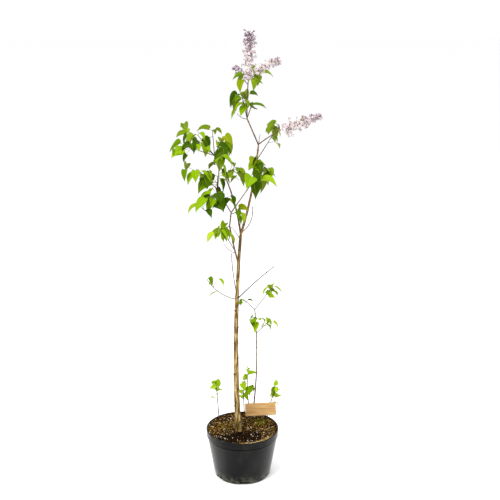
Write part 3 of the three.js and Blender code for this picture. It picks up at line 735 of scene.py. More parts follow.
def bark_shape(name, sides):
    """A limb with its bark: flutes, streaks, pores, and at each node a swelling with a pair of bud scars.

    Kinds: 0 the bark, 1 the dark scars.
    """
    part, stem = wood[name], stems[name]
    length = part["length"]
    start = BURIED if "on" not in part else 0
    z = np.linspace(-start, length, math.ceil((length + start) / BARK_STEP) + 1)
    turn = circle(sides)
    plain = taper(part, z / length) + part.get("flare", 0) * np.exp(-z / FLARE_LENGTH)
    seed = len(name)
    z, plain, turn = z[:, None], plain[:, None], turn[None]
    local = np.stack(np.broadcast_arrays(plain * np.cos(turn), plain * np.sin(turn), z), axis=-1)
    flutes = FLUTES["number"] * turn + FLUTES["drift"] * noise(local * [0, 0, 1], FLUTES["length"], seed)
    relief = FLUTES["depth"] * plain * np.sin(flutes)
    relief = relief + GRAIN["depth"] * plain * noise(local, GRAIN["fine"], seed + 1)
    relief = relief + PORE["height"] * np.maximum(0, noise(local, PORE["size"], seed + 2) - PORE["level"])
    relief = relief + GRAIN["depth"] * plain * noise(local, GRAIN["broad"], seed + 3)
    scars = np.zeros(np.broadcast_shapes(z.shape, turn.shape), int)
    at = NODE["spacing"] * NODE["first"]
    quarter = 0.0
    while at < length - NODE["clear_of_tip"]:
        facing = np.abs(np.cos(turn - quarter)) ** 6
        relief = relief + 0.1 * (plain + 1) * ring_at(z, at, 2.6)
        relief = relief + 0.15 * (plain + 1) * facing * ring_at(z, at + 1.5, 2)
        relief = relief - 0.12 * plain * ring_at(z, at - 2.6, 0.9)
        scars[(facing > SCAR["facing"]) & (np.abs(z - at) < SCAR["half"])] = 1
        least, more = NODE["vary"]
        at += NODE["spacing"] * (least + more * hashed(np.array([at, quarter, seed]), seed))
        quarter += math.pi / 2
    end = length - z
    radius = (plain + relief) * np.sqrt(np.clip(0.2 + end / (0.8 * plain), 0.04, 1))
    return loft(around_stem(stem, z[:, 0] / length, radius), scars[:-1])


def tube(points, radii, sides=6):
    """A round body along points."""
    points = np.asarray(points, float)
    ahead = unit(np.gradient(points, axis=0))
    helper = UP if np.abs(ahead[:, 2]).max() < 0.95 else ALONG_X
    side = unit(np.cross(helper, ahead))
    up = np.cross(ahead, side)
    turn = circle(sides)[:, None]
    out = side[:, None] * np.cos(turn) + up[:, None] * np.sin(turn)
    return loft(points[:, None] + out * np.reshape(radii, (-1, 1, 1)))


def bud_shape(size, sides=8):
    """A pointed ovoid along +Z, with its scales as slight steps."""
    heights = np.array([-0.2, 0.1, 0.5, 0.9, 1.3, 1.36, 1.8, 2.2, 2.5])
    radii = np.array([0.5, 0.8, 1.0, 1.02, 0.88, 0.76, 0.6, 0.32, 0.06])
    return turned(np.stack([radii * size, heights * size], axis=1), sides)


def bud(root, ahead, size):
    """One bud at root that points ahead."""
    return bud_shape(size).copies(root[None], frames_along(ahead[None], np.zeros(1)), [1])


def buds_on(stem, part, shares, size, turn):
    """Opposite pairs of small buds at shares of a stem, each pair a quarter turn on from the last."""
    made = []
    for k, s in enumerate(shares):
        for half in (0, 180):
            ahead = stem.leaning(s, 90 * k + half + turn, BUD_LEAN)
            away = stem.leaning(s, 90 * k + half + turn, 90)
            made.append(bud(stem.point(s) + away * taper(part, s) * 0.7, ahead, size))
    return made


BARK_COLORS = (srgb(38, 24, 2), srgb(120, 94, 42), srgb(206, 184, 134))
TWIG_COLORS = (srgb(44, 30, 24), srgb(76, 56, 44), srgb(108, 86, 66))
LEADER_COLORS = (srgb(66, 46, 26), srgb(122, 92, 58), srgb(172, 138, 98))
BOUGH_COLORS = (srgb(56, 40, 30), srgb(96, 72, 54), srgb(138, 110, 84))
SCAR_COLORS = (srgb(44, 32, 12), srgb(104, 82, 44))
BARK_SHEEN = dict(Specular_IOR_Level=0.15)
bark = faded(
    material("bark", BARK_COLORS, 0.72, (4, 4, 48), 0.35, 0.12, **BARK_SHEEN),
    srgb(90, 62, 30), 380, 520, 0.95, 22,
)
leader_bark = material("leader_bark", LEADER_COLORS, 0.7, (3, 3, 24), 0.25, 0.12, **BARK_SHEEN)
bough_bark = material("bough_bark", BOUGH_COLORS, 0.7, (2, 2, 12), 0.25, 0.12, **BARK_SHEEN)
twig_bark = material("twig_bark", TWIG_COLORS, 0.7, (2, 2, 12), 0.25, 0.12, **BARK_SHEEN)
scar_bark = material("scar_bark", SCAR_COLORS, 0.8, (2, 2, 5), 0.3, Specular_IOR_Level=0.1)
bud_scale = material("bud_scale", (srgb(62, 42, 28), srgb(100, 78, 40)), 0.6, (1.5, 1.5, 1.5), 0.15)

piece("trunk_bark", [bark_shape("trunk", TRUNK_SIDES)], "bark", ["trunk"], bark, scar_bark)
boughs = [name for name in LIMBS if name != "trunk"]
leaders = ["leader_lower"]
bare_twigs = [name for name in boughs if "bud" in LIMBS[name]]
others = [name for name in boughs if name not in leaders + bare_twigs]
for label, names, skin in (
    ("leader_bark", leaders, leader_bark),
    ("bough_bark", others, bough_bark),
    ("twig_bark", bare_twigs, twig_bark),
):
    piece(label, [bark_shape(name, BOUGH_SIDES) for name in names], "bark", names, skin, scar_bark)

bud_shapes = []
for name in bare_twigs:
    stem, part = stems[name], LIMBS[name]
    bud_shapes.append(bud(stem.point(1), stem.frame(1)[0], part["bud"] * TIP_BUD))
    bud_shapes += buds_on(stem, part, (0.82,), part["bud"] * SIDE_BUD, 25)
bud_shapes += buds_on(stems["tall_sucker"], LIMBS["tall_sucker"], **SUCKER_BUDS)

SPURS = (
    dict(on="right_bough", at=0.03, bearing=0, rise=84, length=27, lift=1),
    dict(on="trunk", at=0.966, bearing=185, rise=57, length=58, lift=5),
    dict(on="middle_bough", at=0.3, bearing=180, rise=38, length=43, lift=-4),
    dict(on="left_bough", at=0.86, bearing=-175, rise=8, length=34, lift=2),
    dict(on="left_bough", at=0.9, bearing=160, rise=62, length=24, lift=0),
    dict(on="leader_upper", at=0.98, bearing=-170, rise=28, length=34, lift=-4),
)
SPUR_RADII = (1.1, 0.7)
SPUR_BUD = 1.3
spur_shapes = []
for spur in SPURS:
    stem = Stem(foot_of(spur), **spur)
    spur_shapes.append(tube(stem.point(np.linspace(0, 1, 10)), np.linspace(*SPUR_RADII, 10), 8))
    bud_shapes.append(bud(stem.point(1), stem.frame(1)[0], SPUR_BUD))
piece("spurs", spur_shapes, "bark", [], twig_bark)
piece("buds", bud_shapes, "bark", [], bud_scale)

# ---- Shoots, fine twigs and stalks ----

SHOOT_SIDES = 8
SHOOT_STEP = 3
NODE_SWELLING = 0.45
STALK_RADII = (0.95, 0.6)
TWIG_RADII = (0.7, 0.5)
SHOOT_BUD, TWIG_BUD = 1.1, 0.7
FINE_STALK = 0.8


def shoot_shape(name):
    """The stem of a mass or flower head, a mass's swollen where its leaves stand."""
    part, stem = wood[name], stems[name]
    start = BURIED if "on" not in part else 0
    z = np.linspace(-start, part["length"], math.ceil(part["length"] / SHOOT_STEP) + 1)
    radius = taper(part, z / part["length"])
    for s in node_shares(part) if name in shoots else ():
        radius = radius + NODE_SWELLING * ring_at(z, s * part["length"], 2)
    radius[-1] *= 0.5
    return loft(around_stem(stem, z / part["length"], np.repeat(radius[:, None], SHOOT_SIDES, axis=1)))


def stalk_shape(leaf, thick):
    """A leaf's stalk, which leaves its node straight and bends into the blade's rib."""
    ahead = leaf.point(0.06, 0)[0] - leaf.foot
    run = leaf.foot - leaf.node
    share = np.linspace(0, 1, 6)[:, None]
    knee = leaf.node + run * 0.72 + np.array([0, 0, 0.08 * np.linalg.norm(run)])
    end = leaf.foot + ahead * 0.5
    line = (1 - share) ** 2 * leaf.node + 2 * share * (1 - share) * knee + share**2 * end
    thick_end, thin_end = STALK_RADII
    return tube(line, thick * (thick_end + (thin_end - thick_end) * np.sin(share * math.pi / 2)))


SHOOT_COLORS = (srgb(48, 34, 26), srgb(88, 68, 46))
STALK_COLORS = (srgb(96, 106, 24), srgb(128, 134, 44))
BUD_COLORS = (srgb(112, 92, 34), srgb(140, 120, 50))
shoot_bark = material("shoot_bark", SHOOT_COLORS, 0.6, (1.5, 1.5, 5), 0.15, Specular_IOR_Level=0.15)
stalk_skin = material("stalk_skin", STALK_COLORS, 0.5, (2, 2, 4), 0.1)
bud_green = material("bud_green", BUD_COLORS, 0.55, (1, 1, 1), 0.1)

piece("shoots", [shoot_shape(name) for name in shoots], "bark", list(shoots), shoot_bark)
all_twigs = [twig for name in shoots for twig in twigs[name]]
fine_wood = [tube(twig.point(np.linspace(0, 1, 4)), np.linspace(*TWIG_RADII, 4)) for twig in all_twigs]
piece("fine_twigs", fine_wood, "bark", [], shoot_bark)
tips = [(stems[name].point(1), stems[name].frame(1)[0], SHOOT_BUD) for name in shoots]
tips += [(twig.point(1), twig.frame(1)[0], TWIG_BUD) for twig in all_twigs]
tip_roots, tip_aheads, tip_sizes = (np.array(each) for each in zip(*tips))
tip_frames = frames_along(tip_aheads, np.zeros(len(tips)))
piece("shoot_buds", [bud_shape(1).copies(tip_roots, tip_frames, tip_sizes)], "leaf", [], bud_green)
stalks = [stalk_shape(leaf, 1) for name in shoots for leaf in leaves[name]]
stalks += [stalk_shape(leaf, FINE_STALK) for name in shoots for leaf in fine_leaves[name]]
piece("leaf_stalks", stalks, "leaf", [], stalk_skin)

# ---- Leaves ----

BLADE_ALONG = np.array(
    [0, 0.02, 0.06, 0.11, 0.16, 0.22, 0.28, 0.35, 0.42, 0.5, 0.58, 0.66, 0.74, 0.82, 0.89, 0.95, 1]
)
BLADE_ACROSS = np.array([-1, -0.85, -0.6, -0.35, -0.14, -0.035, 0.035, 0.14, 0.35, 0.6, 0.85, 1])
LOBE = 0.24
SIDE_VEINS = 5
BLADE_THICKNESS = 0.4
FULLNESS = 0.14
WAVE = 0.022
QUILT = 0.013
TWIST = 0.1
RIB_TOP, RIB_UNDER = 0.35, 0.45


def blade_shape(leaf, draw):
    """A heart-shaped blade with lobes at its foot, a drawn-out tip, a rib, side veins and a wavy edge.

    Kinds: 0 the upper side, 1 the underside, 2 the rib.
    """
    u, v = BLADE_ALONG[:, None], BLADE_ACROSS[None]
    along = u - LOBE * (1 - u) ** 2 * np.minimum(1, u / LOBE) ** 0.6 * np.abs(v) ** 1.5
    width = half_width(u) * (1 - 0.45 * u**8) * (1 + FULLNESS * np.sin(math.pi * u) ** 2)
    width = np.maximum(width, 0.012 * (1 - u) + 0.003)
    phase = draw(0, 6)
    wave = WAVE * v**2 * np.sin(9 * u + 3 * np.sign(v) + phase) * np.minimum(1, 4 * u * (1 - u))
    swell = np.abs(np.sin(math.pi * SIDE_VEINS * (u - 0.25 * np.abs(v)))) ** 0.6
    quilt = QUILT * swell * (1 - v**2) * np.minimum(1, 6 * u * (1 - u)) * (np.abs(v) > 0.1)
    twist = TWIST * np.sin(phase) * v * u**2 * half_width(u)
    off = (wave + quilt + twist) * leaf.size
    rib = np.exp(-((v / 0.1) ** 2)) * (1 - 0.8 * u)
    half = BLADE_THICKNESS / 2 * (1 - 0.6 * np.abs(v))
    top = leaf.point(along, v * width, off + half - RIB_TOP * rib)
    under = leaf.point(along, v * width, off - half - RIB_UNDER * rib)
    edge = (top[:, [0, -1]] + under[:, [0, -1]]) / 2
    rings = np.concatenate([edge[:, :1], under[:, 1:-1], edge[:, 1:], top[:, -2:0:-1]], axis=1)
    count = len(BLADE_ACROSS) - 1
    middle = len(BLADE_ACROSS) // 2 - 1
    kinds = np.array([1] * count + [0] * count)
    kinds[[middle, -middle - 1]] = 2
    return loft(rings, kinds)


LEAF_TINTS = dict(
    deep=srgb(52, 80, 0),
    mid=srgb(86, 118, 0),
    bright=srgb(112, 146, 0),
    lime=srgb(134, 164, 10),
    olive=srgb(118, 132, 0),
    pale=srgb(152, 176, 36),
    young=srgb(164, 186, 74),
)
TINT_SPREAD = dict(
    deep=("deep", "deep", "mid", "mid", "bright"),
    mid=("mid", "mid", "deep", "bright", "olive", "lime"),
    bright=("bright", "mid", "lime", "deep", "bright", "mid"),
    lime=("lime", "bright", "lime", "mid", "pale"),
    young=("young", "lime", "young", "bright", "pale"),
)
TINT_SEED = 8222
UNDERSIDE = 0.14
RIB = 0.3
PALE = srgb(206, 214, 76)


def blend(color, other, share):
    return tuple((1 - share) * a + share * b for a, b in zip(color, other))


blades = {tint: [] for tint in LEAF_TINTS}
blade_nodes = {tint: set() for tint in LEAF_TINTS}
for name, shoot in shoots.items():
    draw = seeded(shoot["seed"] + TINT_SEED)
    choice = TINT_SPREAD[shoot["tint"]]
    for leaf in leaves[name] + fine_leaves[name]:
        tint = choice[int(draw(0, len(choice)))]
        blades[tint].append(blade_shape(leaf, draw))
        blade_nodes[tint].add(name)
for tint, color in LEAF_TINTS.items():
    under, rib = blend(color, PALE, UNDERSIDE), blend(color, PALE, RIB)
    faces = [
        material("leaf_" + tint, (color,), 0.45, (4, 4, 4), 0.12, Specular_IOR_Level=0.03),
        material("leaf_under_" + tint, (under,), 0.7, (3, 3, 3), 0.12, Specular_IOR_Level=0.02),
        material("leaf_rib_" + tint, (rib,), 0.6, (2, 2, 2), 0.08, Specular_IOR_Level=0.02),
    ]
    piece("leaves_" + tint, blades[tint], "leaf", sorted(blade_nodes[tint]), *faces)

# ---- Flowers ----

PETAL = dict(length=4.6, width=3.0, rows=4, sides=6, thick=0.14, cup=0.22)
PETALS = 4
TUBE_LENGTH = 7.5
TUBE_SIDES = 5
TUBE = [(0.35, 1), (0.55, 2), (0.6, 5), (0.85, TUBE_LENGTH), (0.2, TUBE_LENGTH)]
CLOSED_BUD = [(0.35, 1), (0.6, 2), (0.65, 5), (1.25, 7), (1.3, 8.2), (0.15, 10)]
TUFT = 3
RIPE = dict(half=0.5, closed=0.78)
BRANCHLET_RADII = (0.75, 0.6, 0.45)
FINE_BRANCHLET_RADII = (0.6, 0.5, 0.4)
BRANCHLET_SIDES = 5
FINE_HEAD = dict(spacing=4.6, lean=(48, 84), reach=(0.5, 1.15), step=6.5, seed=4111)


def petal_rings(openness):
    """One cupped petal as rings along it, in the frame of its floret: +Z along the tube, +X out."""
    share = np.linspace(0, 1, PETAL["rows"])
    widths = PETAL["width"] / 2 * np.sin(math.pi * (0.12 + 0.8 * share)) ** 0.8
    turn = circle(PETAL["sides"])
    tilt = math.radians(openness) * (0.5 + 0.7 * share)
    rows = PETAL["rows"] - 1
    out = 0.5 + np.cumsum(np.append(0, np.sin(tilt[1:]))) * PETAL["length"] / rows
    up = TUBE_LENGTH + np.cumsum(np.append(0, np.cos(tilt[1:]))) * PETAL["length"] / rows
    across = np.cos(turn)[None] * widths[:, None]
    thick = PETAL["thick"] * np.sin(turn)[None]
    cup = PETAL["cup"] * across**2 / (PETAL["width"] / 2)
    x = out[:, None] - (thick + cup) * np.cos(tilt)[:, None]
    z = up[:, None] + (thick + cup) * np.sin(tilt)[:, None]
    return np.stack([x, across, z], axis=-1)


def floret_shape(openness):
    """A tube that opens into petals by this many degrees, or a closed bud at 0.

    Kinds: 0 the petals, 1 the tube, 2 the calyx.
    """
    calyx = turned([(0.25, -2), (0.8, 0.5), (0.95, 1.4), (0.3, 1.8)], TUBE_SIDES)
    body = turned(TUBE if openness else CLOSED_BUD, TUBE_SIDES)
    body.kinds = body.kinds + 1
    calyx.kinds = calyx.kinds + 2
    petals = []
    for k in range(PETALS if openness else 0):
        angle = k * math.pi / 2
        cos, sin = math.cos(angle), math.sin(angle)
        turn = np.array([[cos, sin, 0], [-sin, cos, 0], [0, 0, 1]])
        petals.append(loft(petal_rings(openness) @ turn))
    return together([calyx, body, *petals])


FLORET_KINDS = dict(open=floret_shape(78), half=floret_shape(48), closed=floret_shape(0))
BLOOM = dict(
    mauve=dict(petal=srgb(150, 122, 142), tube=srgb(108, 78, 100), calyx=srgb(84, 58, 60)),
    lilac=dict(petal=srgb(196, 176, 187), tube=srgb(154, 128, 142), calyx=srgb(112, 94, 70)),
    cream=dict(petal=srgb(216, 202, 203), tube=srgb(182, 164, 160), calyx=srgb(132, 118, 80)),
)
HEAD_SHADES = dict(
    flowers_top=("cream", "lilac", "mauve"),
    flowers_top_right=("cream", "cream", "lilac"),
    flowers_top_left=("cream", "lilac", "mauve"),
    flowers_top_front=("lilac", "lilac", "cream"),
    flowers_right=("cream", "cream", "lilac"),
)


def fine_branchlets(stem, head):
    """Branchlets between the whorls of a flower head, as (foot, ahead, length, share along the head)."""
    draw = seeded(head["seed"] + FINE_HEAD["seed"])
    rows = round(head["length"] * (1 - head["bare"]) / FINE_HEAD["spacing"])
    branchlets = []
    for k in range(rows):
        share = (k + 0.5) / rows
        width = head["width"] * (1 - head["taper"] * share**1.5)
        s = head["bare"] + (1 - head["bare"]) * share
        foot = stem.point(s)
        for half in (0, 180):
            ahead = stem.leaning(s, 90 * k + half + draw(-40, 40), draw(*FINE_HEAD["lean"]))
            length = max(1.5, width / 2 * draw(*FINE_HEAD["reach"]) - FLORET["length"])
            branchlets.append((foot, ahead, length, share))
    return branchlets


tufts = {(shade, kind): [] for shade in BLOOM for kind in FLORET_KINDS}
bloom_nodes = {shade: set() for shade in BLOOM}
flower_wood = []


def bloom(name, draw, root, ahead, share):
    """Adds one floret, its shade and how far it has opened from its place along the head."""
    place = min(2, int(3 * min(0.999, max(0, share + draw(-0.22, 0.22)))))
    shade = HEAD_SHADES[name][place]
    ripeness = share + draw(-0.45, 0.35)
    kind = "closed" if ripeness > RIPE["closed"] else "half" if ripeness > RIPE["half"] else "open"
    tufts[shade, kind].append((root, ahead, draw(0, 1), draw(0.85, 1.1)))
    bloom_nodes[shade].add(name)


def bent(ahead, lean, turn):
    """The direction that leans away from ahead, turned about it, in degrees."""
    across = frames_along(ahead[None], np.radians([turn]))[0, 0]
    return unit(ahead * math.cos(math.radians(lean)) + across * math.sin(math.radians(lean)))


for name, head in heads.items():
    draw = seeded(head["seed"] + FINE_HEAD["seed"])
    flower_wood.append(shoot_shape(name))
    for root, ahead, back, share in florets[name]:
        if back:
            line = [root - ahead * back, root - ahead * back / 2, root + ahead]
            flower_wood.append(tube(line, BRANCHLET_RADII, BRANCHLET_SIDES))
        for each in range(TUFT):
            bloom(name, draw, root, bent(ahead, draw(4, 52), draw(0, 360)), share)
    for foot, ahead, length, share in fine_branchlets(stems[name], head):
        line = [foot, foot + ahead * length / 2, foot + ahead * (length + 1)]
        flower_wood.append(tube(line, FINE_BRANCHLET_RADII, BRANCHLET_SIDES))
        for each in range(TUFT):
            out = bent(ahead, draw(5, 50), 360 / TUFT * each + draw(-50, 50))
            bloom(name, draw, foot + ahead * length, out, share)
        for on in np.arange(length - FINE_HEAD["step"], 0, -FINE_HEAD["step"]):
            for half in (0, 180):
                out = bent(ahead, draw(45, 70), half + draw(-60, 60))
                bloom(name, draw, foot + ahead * on, out, share)
BLOOM_STALK_COLORS = (srgb(128, 120, 60), srgb(158, 146, 84))
bloom_green = material("bloom_stalk", BLOOM_STALK_COLORS, 0.6, (1.5, 1.5, 4), 0.1)
piece("flower_stalks", flower_wood, "blossom", list(heads), bloom_green)
for shade, colors in BLOOM.items():
    shapes = []
    for kind, template in FLORET_KINDS.items():
        if tufts[shade, kind]:
            roots, aheads, turns, sizes = (np.array(each) for each in zip(*tufts[shade, kind]))
            shapes.append(template.copies(roots, frames_along(aheads, turns * math.pi / 2), sizes))
    faces = [
        material("petal_" + shade, (colors["petal"],), 0.6, (2, 2, 2), 0.08, Sheen_Weight=0.2),
        material("tube_" + shade, (colors["tube"],), 0.6, (2, 2, 2), 0.08),
        material("calyx_" + shade, (colors["calyx"],), 0.6, (1, 1, 1), 0.08),
    ]
    piece("florets_" + shade, shapes, "blossom", sorted(bloom_nodes[shade]), *faces)

# ---- Pot ----

POT_SIDES = 160
CORNER = 2.4
SHOULDER = 3


def wall_radius(height):
    """The wall's outer radius below the band."""
    foot = POT["foot_radius"]
    return foot + (POT["rim_radius"] - POT["band_step"] - foot) * height / BAND


def rounding(start, end, count):
    """Angles in radians along a round stretch, without its first."""
    return np.linspace(start, end, count)[1:]


def pot_profile():
    """(radius, height) pairs from the middle of the underside, up outside, over the rim and down inside."""
    foot, wall, floor = POT["foot_radius"], POT["wall"], POT["floor"]
    step, rim, top = POT["band_step"], POT["rim_radius"], POT["height"]
    corner = [
        (foot - CORNER + CORNER * math.sin(t), CORNER - CORNER * math.cos(t))
        for t in np.linspace(0, 1.5, 6)
    ]
    low = BAND - SHOULDER
    outside = [(wall_radius(z), z) for z in np.linspace(CORNER + 1, low, 12)]
    wider = rim - step / 4 - wall_radius(low)
    shoulder = [
        (wall_radius(low) + wider * (0.5 - 0.5 * math.cos(t)), low + 4 * t / math.pi)
        for t in rounding(0, math.pi, 9)
    ]
    lip = wall * 0.8
    upper = [
        (rim - step / 4 + step / 4 * share, BAND + 2 + (top - lip - BAND - 2) * share)
        for share in (0.3, 0.6, 0.9, 1)
    ]
    rounded = [
        (rim - lip + lip * math.cos(t), top - lip + lip * math.sin(t)) for t in rounding(0, math.pi, 9)
    ]
    inner = wall_radius(BAND) - wall
    inside = [(rim - step, top - lip - 3), (rim - step, BAND + 3), (inner + 1, BAND - 1)]
    inside += [(inner, BAND - step - 2)]
    inside += [(wall_radius(z) - wall, z) for z in (80, 40, floor + 1)]
    underside = [(0.5, 0), (foot * 0.6, 0)]
    base = [(foot * 0.5, floor), (0.5, floor)]
    return underside + corner + outside + shoulder + upper + rounded + inside + base


def pot_shape():
    """The pot as a body. Kinds: 0 the plastic, 1 the underside of its band, with painted shade in near black.
    """
    profile = pot_profile()
    # The strips just under the band take the painted shade.
    shaded = [outer and BAND - 4 < (low + high) / 2 < BAND + 1 for outer, low, high in strips(profile)]
    shape = turned(profile, POT_SIDES)
    shape.kinds[: len(shaded) * POT_SIDES] = np.repeat(shaded, POT_SIDES)
    return shape


def strips(profile):
    """For each strip of a profile: whether it is on the way up, and the heights of its ends."""
    return [(high[1] > low[1], low[1], high[1]) for low, high in zip(profile, profile[1:])]


def notch_cutter():
    """The drain notches as bodies to cut away, with rounded upper corners."""
    depth, half, height = POT["notch_depth"], POT["notch_width"] / 2, POT["notch_height"]
    corner = 3.0
    outline = [(-half, -height), (half, -height), (half, height - corner)]
    for t in (0.5, 1.05, 1.57):
        outline.append((half - corner + corner * math.cos(t), height - corner + corner * math.sin(t)))
    for t in (0, 0.52, 1.05):
        outline.append((-half + corner - corner * math.sin(t), height - corner + corner * math.cos(t)))
    outline.append((-half, height - corner))
    shapes = []
    for k in range(POT["notches"]):
        bearing = POT["notch_bearing"] + 360 / POT["notches"] * k
        out, along = direction(bearing, 0), direction(bearing + 90, 0)
        outward = np.array([along * x + UP * z for x, z in outline])
        ends = [outward + out * (POT["foot_radius"] + depth * side) for side in (-1, 1)]
        shapes.append(loft(np.stack(ends)))
    return mesh_object("notch_cutter", shapes)


POT_COLORS = (srgb(1, 1, 1), srgb(6, 6, 6), srgb(24, 25, 22))
pot_plastic = faded(
    material(
        "pot_plastic", POT_COLORS, 0.42, (52, 52, 90), 0.1, 0.08,
        Specular_IOR_Level=0.1, Sheen_Weight=0.5, Sheen_Roughness=0.35,
    ),
    srgb(120, 122, 98), 34, 0, 0.42, 16,
)
# Painted shade: the underside of the band gets a near-black material with no reflection, standing in for the
# shadow the band casts on the wall below.
BAND_PAINTED_SHADE_COLORS = (srgb(3, 3, 3), srgb(8, 8, 8))
band_painted_shade = material("band_painted_shade", BAND_PAINTED_SHADE_COLORS, 0.8, (20, 20, 20), 0.05, Specular_IOR_Level=0.0)
pot = mesh_object("pot_shell", [pot_shape()])
cutter = notch_cutter()
cut = pot.modifiers.new("notches", "BOOLEAN")
cut.operation = "DIFFERENCE"
cut.object = cutter
cut.solver = "EXACT"
bpy.context.view_layer.update()
pot.data = bpy.data.meshes.new_from_object(pot.evaluated_get(bpy.context.evaluated_depsgraph_get()))
pot.modifiers.clear()
bpy.data.objects.remove(cutter)
pot.data.polygons.foreach_set("use_smooth", np.ones(len(pot.data.polygons), bool))
pot.data.set_sharp_from_angle(angle=math.radians(40))
dressed(pot, "pot", ["pot"], pot_plastic, band_painted_shade)

# ---- Soil ----

SOIL_SIDES = 150
SOIL_RINGS = 60
CRUMBS = 11000


def soil_height(points):
    """The lumpy top of the soil at points in plan, which rises a little towards the pot's wall."""
    flat = points * [1, 1, 0]
    lumps = 1.8 * noise(flat, 34, 1) + 1.2 * noise(flat, 13, 2) + 0.7 * noise(flat, 5, 3)
    outward = np.clip((np.linalg.norm(flat, axis=-1) - 70) / 45, 0, 1)
    return SOIL_TOP - 1 + lumps + 3 * outward**2


def soil_shape():
    """The soil as a body. Kinds: 0 its top, 1 the dark sides and underside."""
    low = POT["floor"] + GAP
    shoulder = BAND - 2 * POT["band_step"]
    edge = POT["rim_radius"] - POT["band_step"] - GAP
    side = [(0.5, low), *[(wall_radius(z) - POT["wall"] - GAP, z) for z in (low, shoulder)]]
    side.append((edge, BAND + 2 * POT["band_step"]))
    around = ring(SOIL_SIDES)
    rings = [around * radius + UP * z for radius, z in side]
    for radius in np.linspace(edge, 0.5, SOIL_RINGS):
        flat = around * radius
        rings.append(flat + UP * soil_height(flat)[:, None])
    kinds = np.repeat([1] * len(side) + [0] * (SOIL_RINGS - 1), SOIL_SIDES).reshape(-1, SOIL_SIDES)
    return loft(np.array(rings), kinds)


CHIPS = (1, 1, 1.3, 0.8)
SPLINTERS = (3.2, 4.5)
CRUMB_PROFILE = [(0.25, -0.5), (0.55, -0.2), (0.5, 0.25), (0.2, 0.5)]


def crumb_shapes(rng):
    """A few irregular chips and a few splinters."""
    shapes = []
    for stretch in CHIPS + SPLINTERS:
        shape = turned(CRUMB_PROFILE, 5)
        shape.points = shape.points * [1, 0.7, 1] + rng.uniform(-0.12, 0.12, shape.points.shape)
        shape.points = shape.points * [1 / stretch**0.4, 1 / stretch**0.4, stretch**0.7]
        shapes.append(shape)
    return shapes


CRUMB_SHADES = dict(
    black=srgb(4, 2, 0),
    brown=srgb(60, 34, 8),
    golden=srgb(160, 116, 40),
    straw=srgb(216, 184, 120),
    white=srgb(248, 242, 224),
    moss=srgb(128, 118, 24),
    umber=srgb(16, 9, 2),
)
SOIL_COLORS = (srgb(8, 4, 0), srgb(32, 18, 4), srgb(66, 42, 14))
soil_bed = material("soil_bed", SOIL_COLORS, 0.95, (7, 7, 7), 1.0, Specular_IOR_Level=0.05)
SIDE_COLORS = (srgb(12, 10, 8), srgb(24, 20, 16))
soil_side = material("soil_side", SIDE_COLORS, 0.95, (5, 5, 5), 0.5, Specular_IOR_Level=0.05)
piece("soil_bed", [soil_shape()], "soil", ["soil"], soil_bed, soil_side)


def patches(places):
    """The sum of patches (share, x, y, reach) at the spots, each fading out beyond its reach."""
    return sum(
        share * np.exp(-((spots[:, :2] - (x, y)) ** 2).sum(axis=1) / reach**2)
        for share, x, y, reach in places
    )


MOSSY = ((1, 58, 52, 38), (1, -30, 28, 30))
DARK = ((1.1, 15, -45, 42), (1.2, -40, -75, 50), (0.6, 55, -60, 30), (0.7, -85, -45, 30), (-0.8, -72, 10, 34))
EDGE_RADIUS = 100
EDGE_BEARINGS = (-1.66, -0.6)
BLACK, BROWN, GOLDEN, STRAW, WHITE, MOSS, UMBER = range(len(CRUMB_SHADES))
SPLINTERS_FROM = len(CHIPS)
BLACK_TO, BROWN_TO, GOLDEN_TO, WHITE_FROM = 0.5, 0.7, 0.9, 0.986
MORE_BLACK, MORE_BROWN = 0.35, 0.25
MOSS_FROM = 0.6

rng = np.random.default_rng(77)
templates = crumb_shapes(rng)
radius = (POT["rim_radius"] - POT["band_step"] - 2) * np.sqrt(rng.uniform(0, 1, CRUMBS))
bearing = rng.uniform(-math.pi, math.pi, CRUMBS)
spots = np.stack([radius * np.cos(bearing), radius * np.sin(bearing), np.zeros(CRUMBS)], axis=-1)
spots[:, 2] = soil_height(spots) + 0.4
mossy = 0.5 * noise(spots, 22, 9) + patches(MOSSY)
dark = 0.4 * noise(spots, 26, 12) + patches(DARK)
edging = (radius > EDGE_RADIUS) & (bearing > EDGE_BEARINGS[0]) & (bearing < EDGE_BEARINGS[1])
pick = rng.uniform(0, 1, CRUMBS)
shade = np.where(pick < GOLDEN_TO, GOLDEN, STRAW)
shade = np.where(pick < BROWN_TO + MORE_BROWN * dark, BROWN, shade)
shade = np.where(pick < BLACK_TO + MORE_BLACK * dark, BLACK, shade)
shade = np.where((pick > 0.3) & (mossy > MOSS_FROM), MOSS, shade)
shade = np.where(edging & (pick > 0.1), np.where(pick > 0.4, STRAW, GOLDEN), shade)
shade = np.where(pick > WHITE_FROM, WHITE, shade)
shade = np.where((shade == BLACK) & (pick > 0.3), UMBER, shade)
form = rng.integers(0, len(templates), CRUMBS)
splinter = form >= SPLINTERS_FROM
form = np.where(((shade == BLACK) | (shade == UMBER)) & splinter, form - SPLINTERS_FROM, form)
tilt = unit(rng.normal(size=(CRUMBS, 3)) * [1, 1, 0.45])
longer = np.where(form >= SPLINTERS_FROM, 1.3, 1)
crumb_sizes = 0.65 + 1.8 * rng.uniform(0, 1, CRUMBS) ** 2 * longer + 0.7 * (shade == WHITE)
spin = rng.uniform(0, 2 * math.pi, CRUMBS)
for k, (label, color) in enumerate(CRUMB_SHADES.items()):
    shapes = []
    for kind, template in enumerate(templates):
        chosen = (shade == k) & (form == kind)
        if chosen.any():
            frames = frames_along(tilt[chosen], spin[chosen])
            shapes.append(template.copies(spots[chosen], frames, crumb_sizes[chosen]))
    crumb = material("crumb_" + label, (color,), 0.9, (1.5, 1.5, 1.5), 0.3, Specular_IOR_Level=0.05)
    piece("soil_crumbs_" + label, shapes, "soil", [], crumb, smooth=False)

# ---- Label ----

LABEL_CORNER = 2.0
LABEL_BEVEL = 0.6
STICK_CORNER = 1
STICK_BEVEL = 0.4
STICK_SUNK = 6


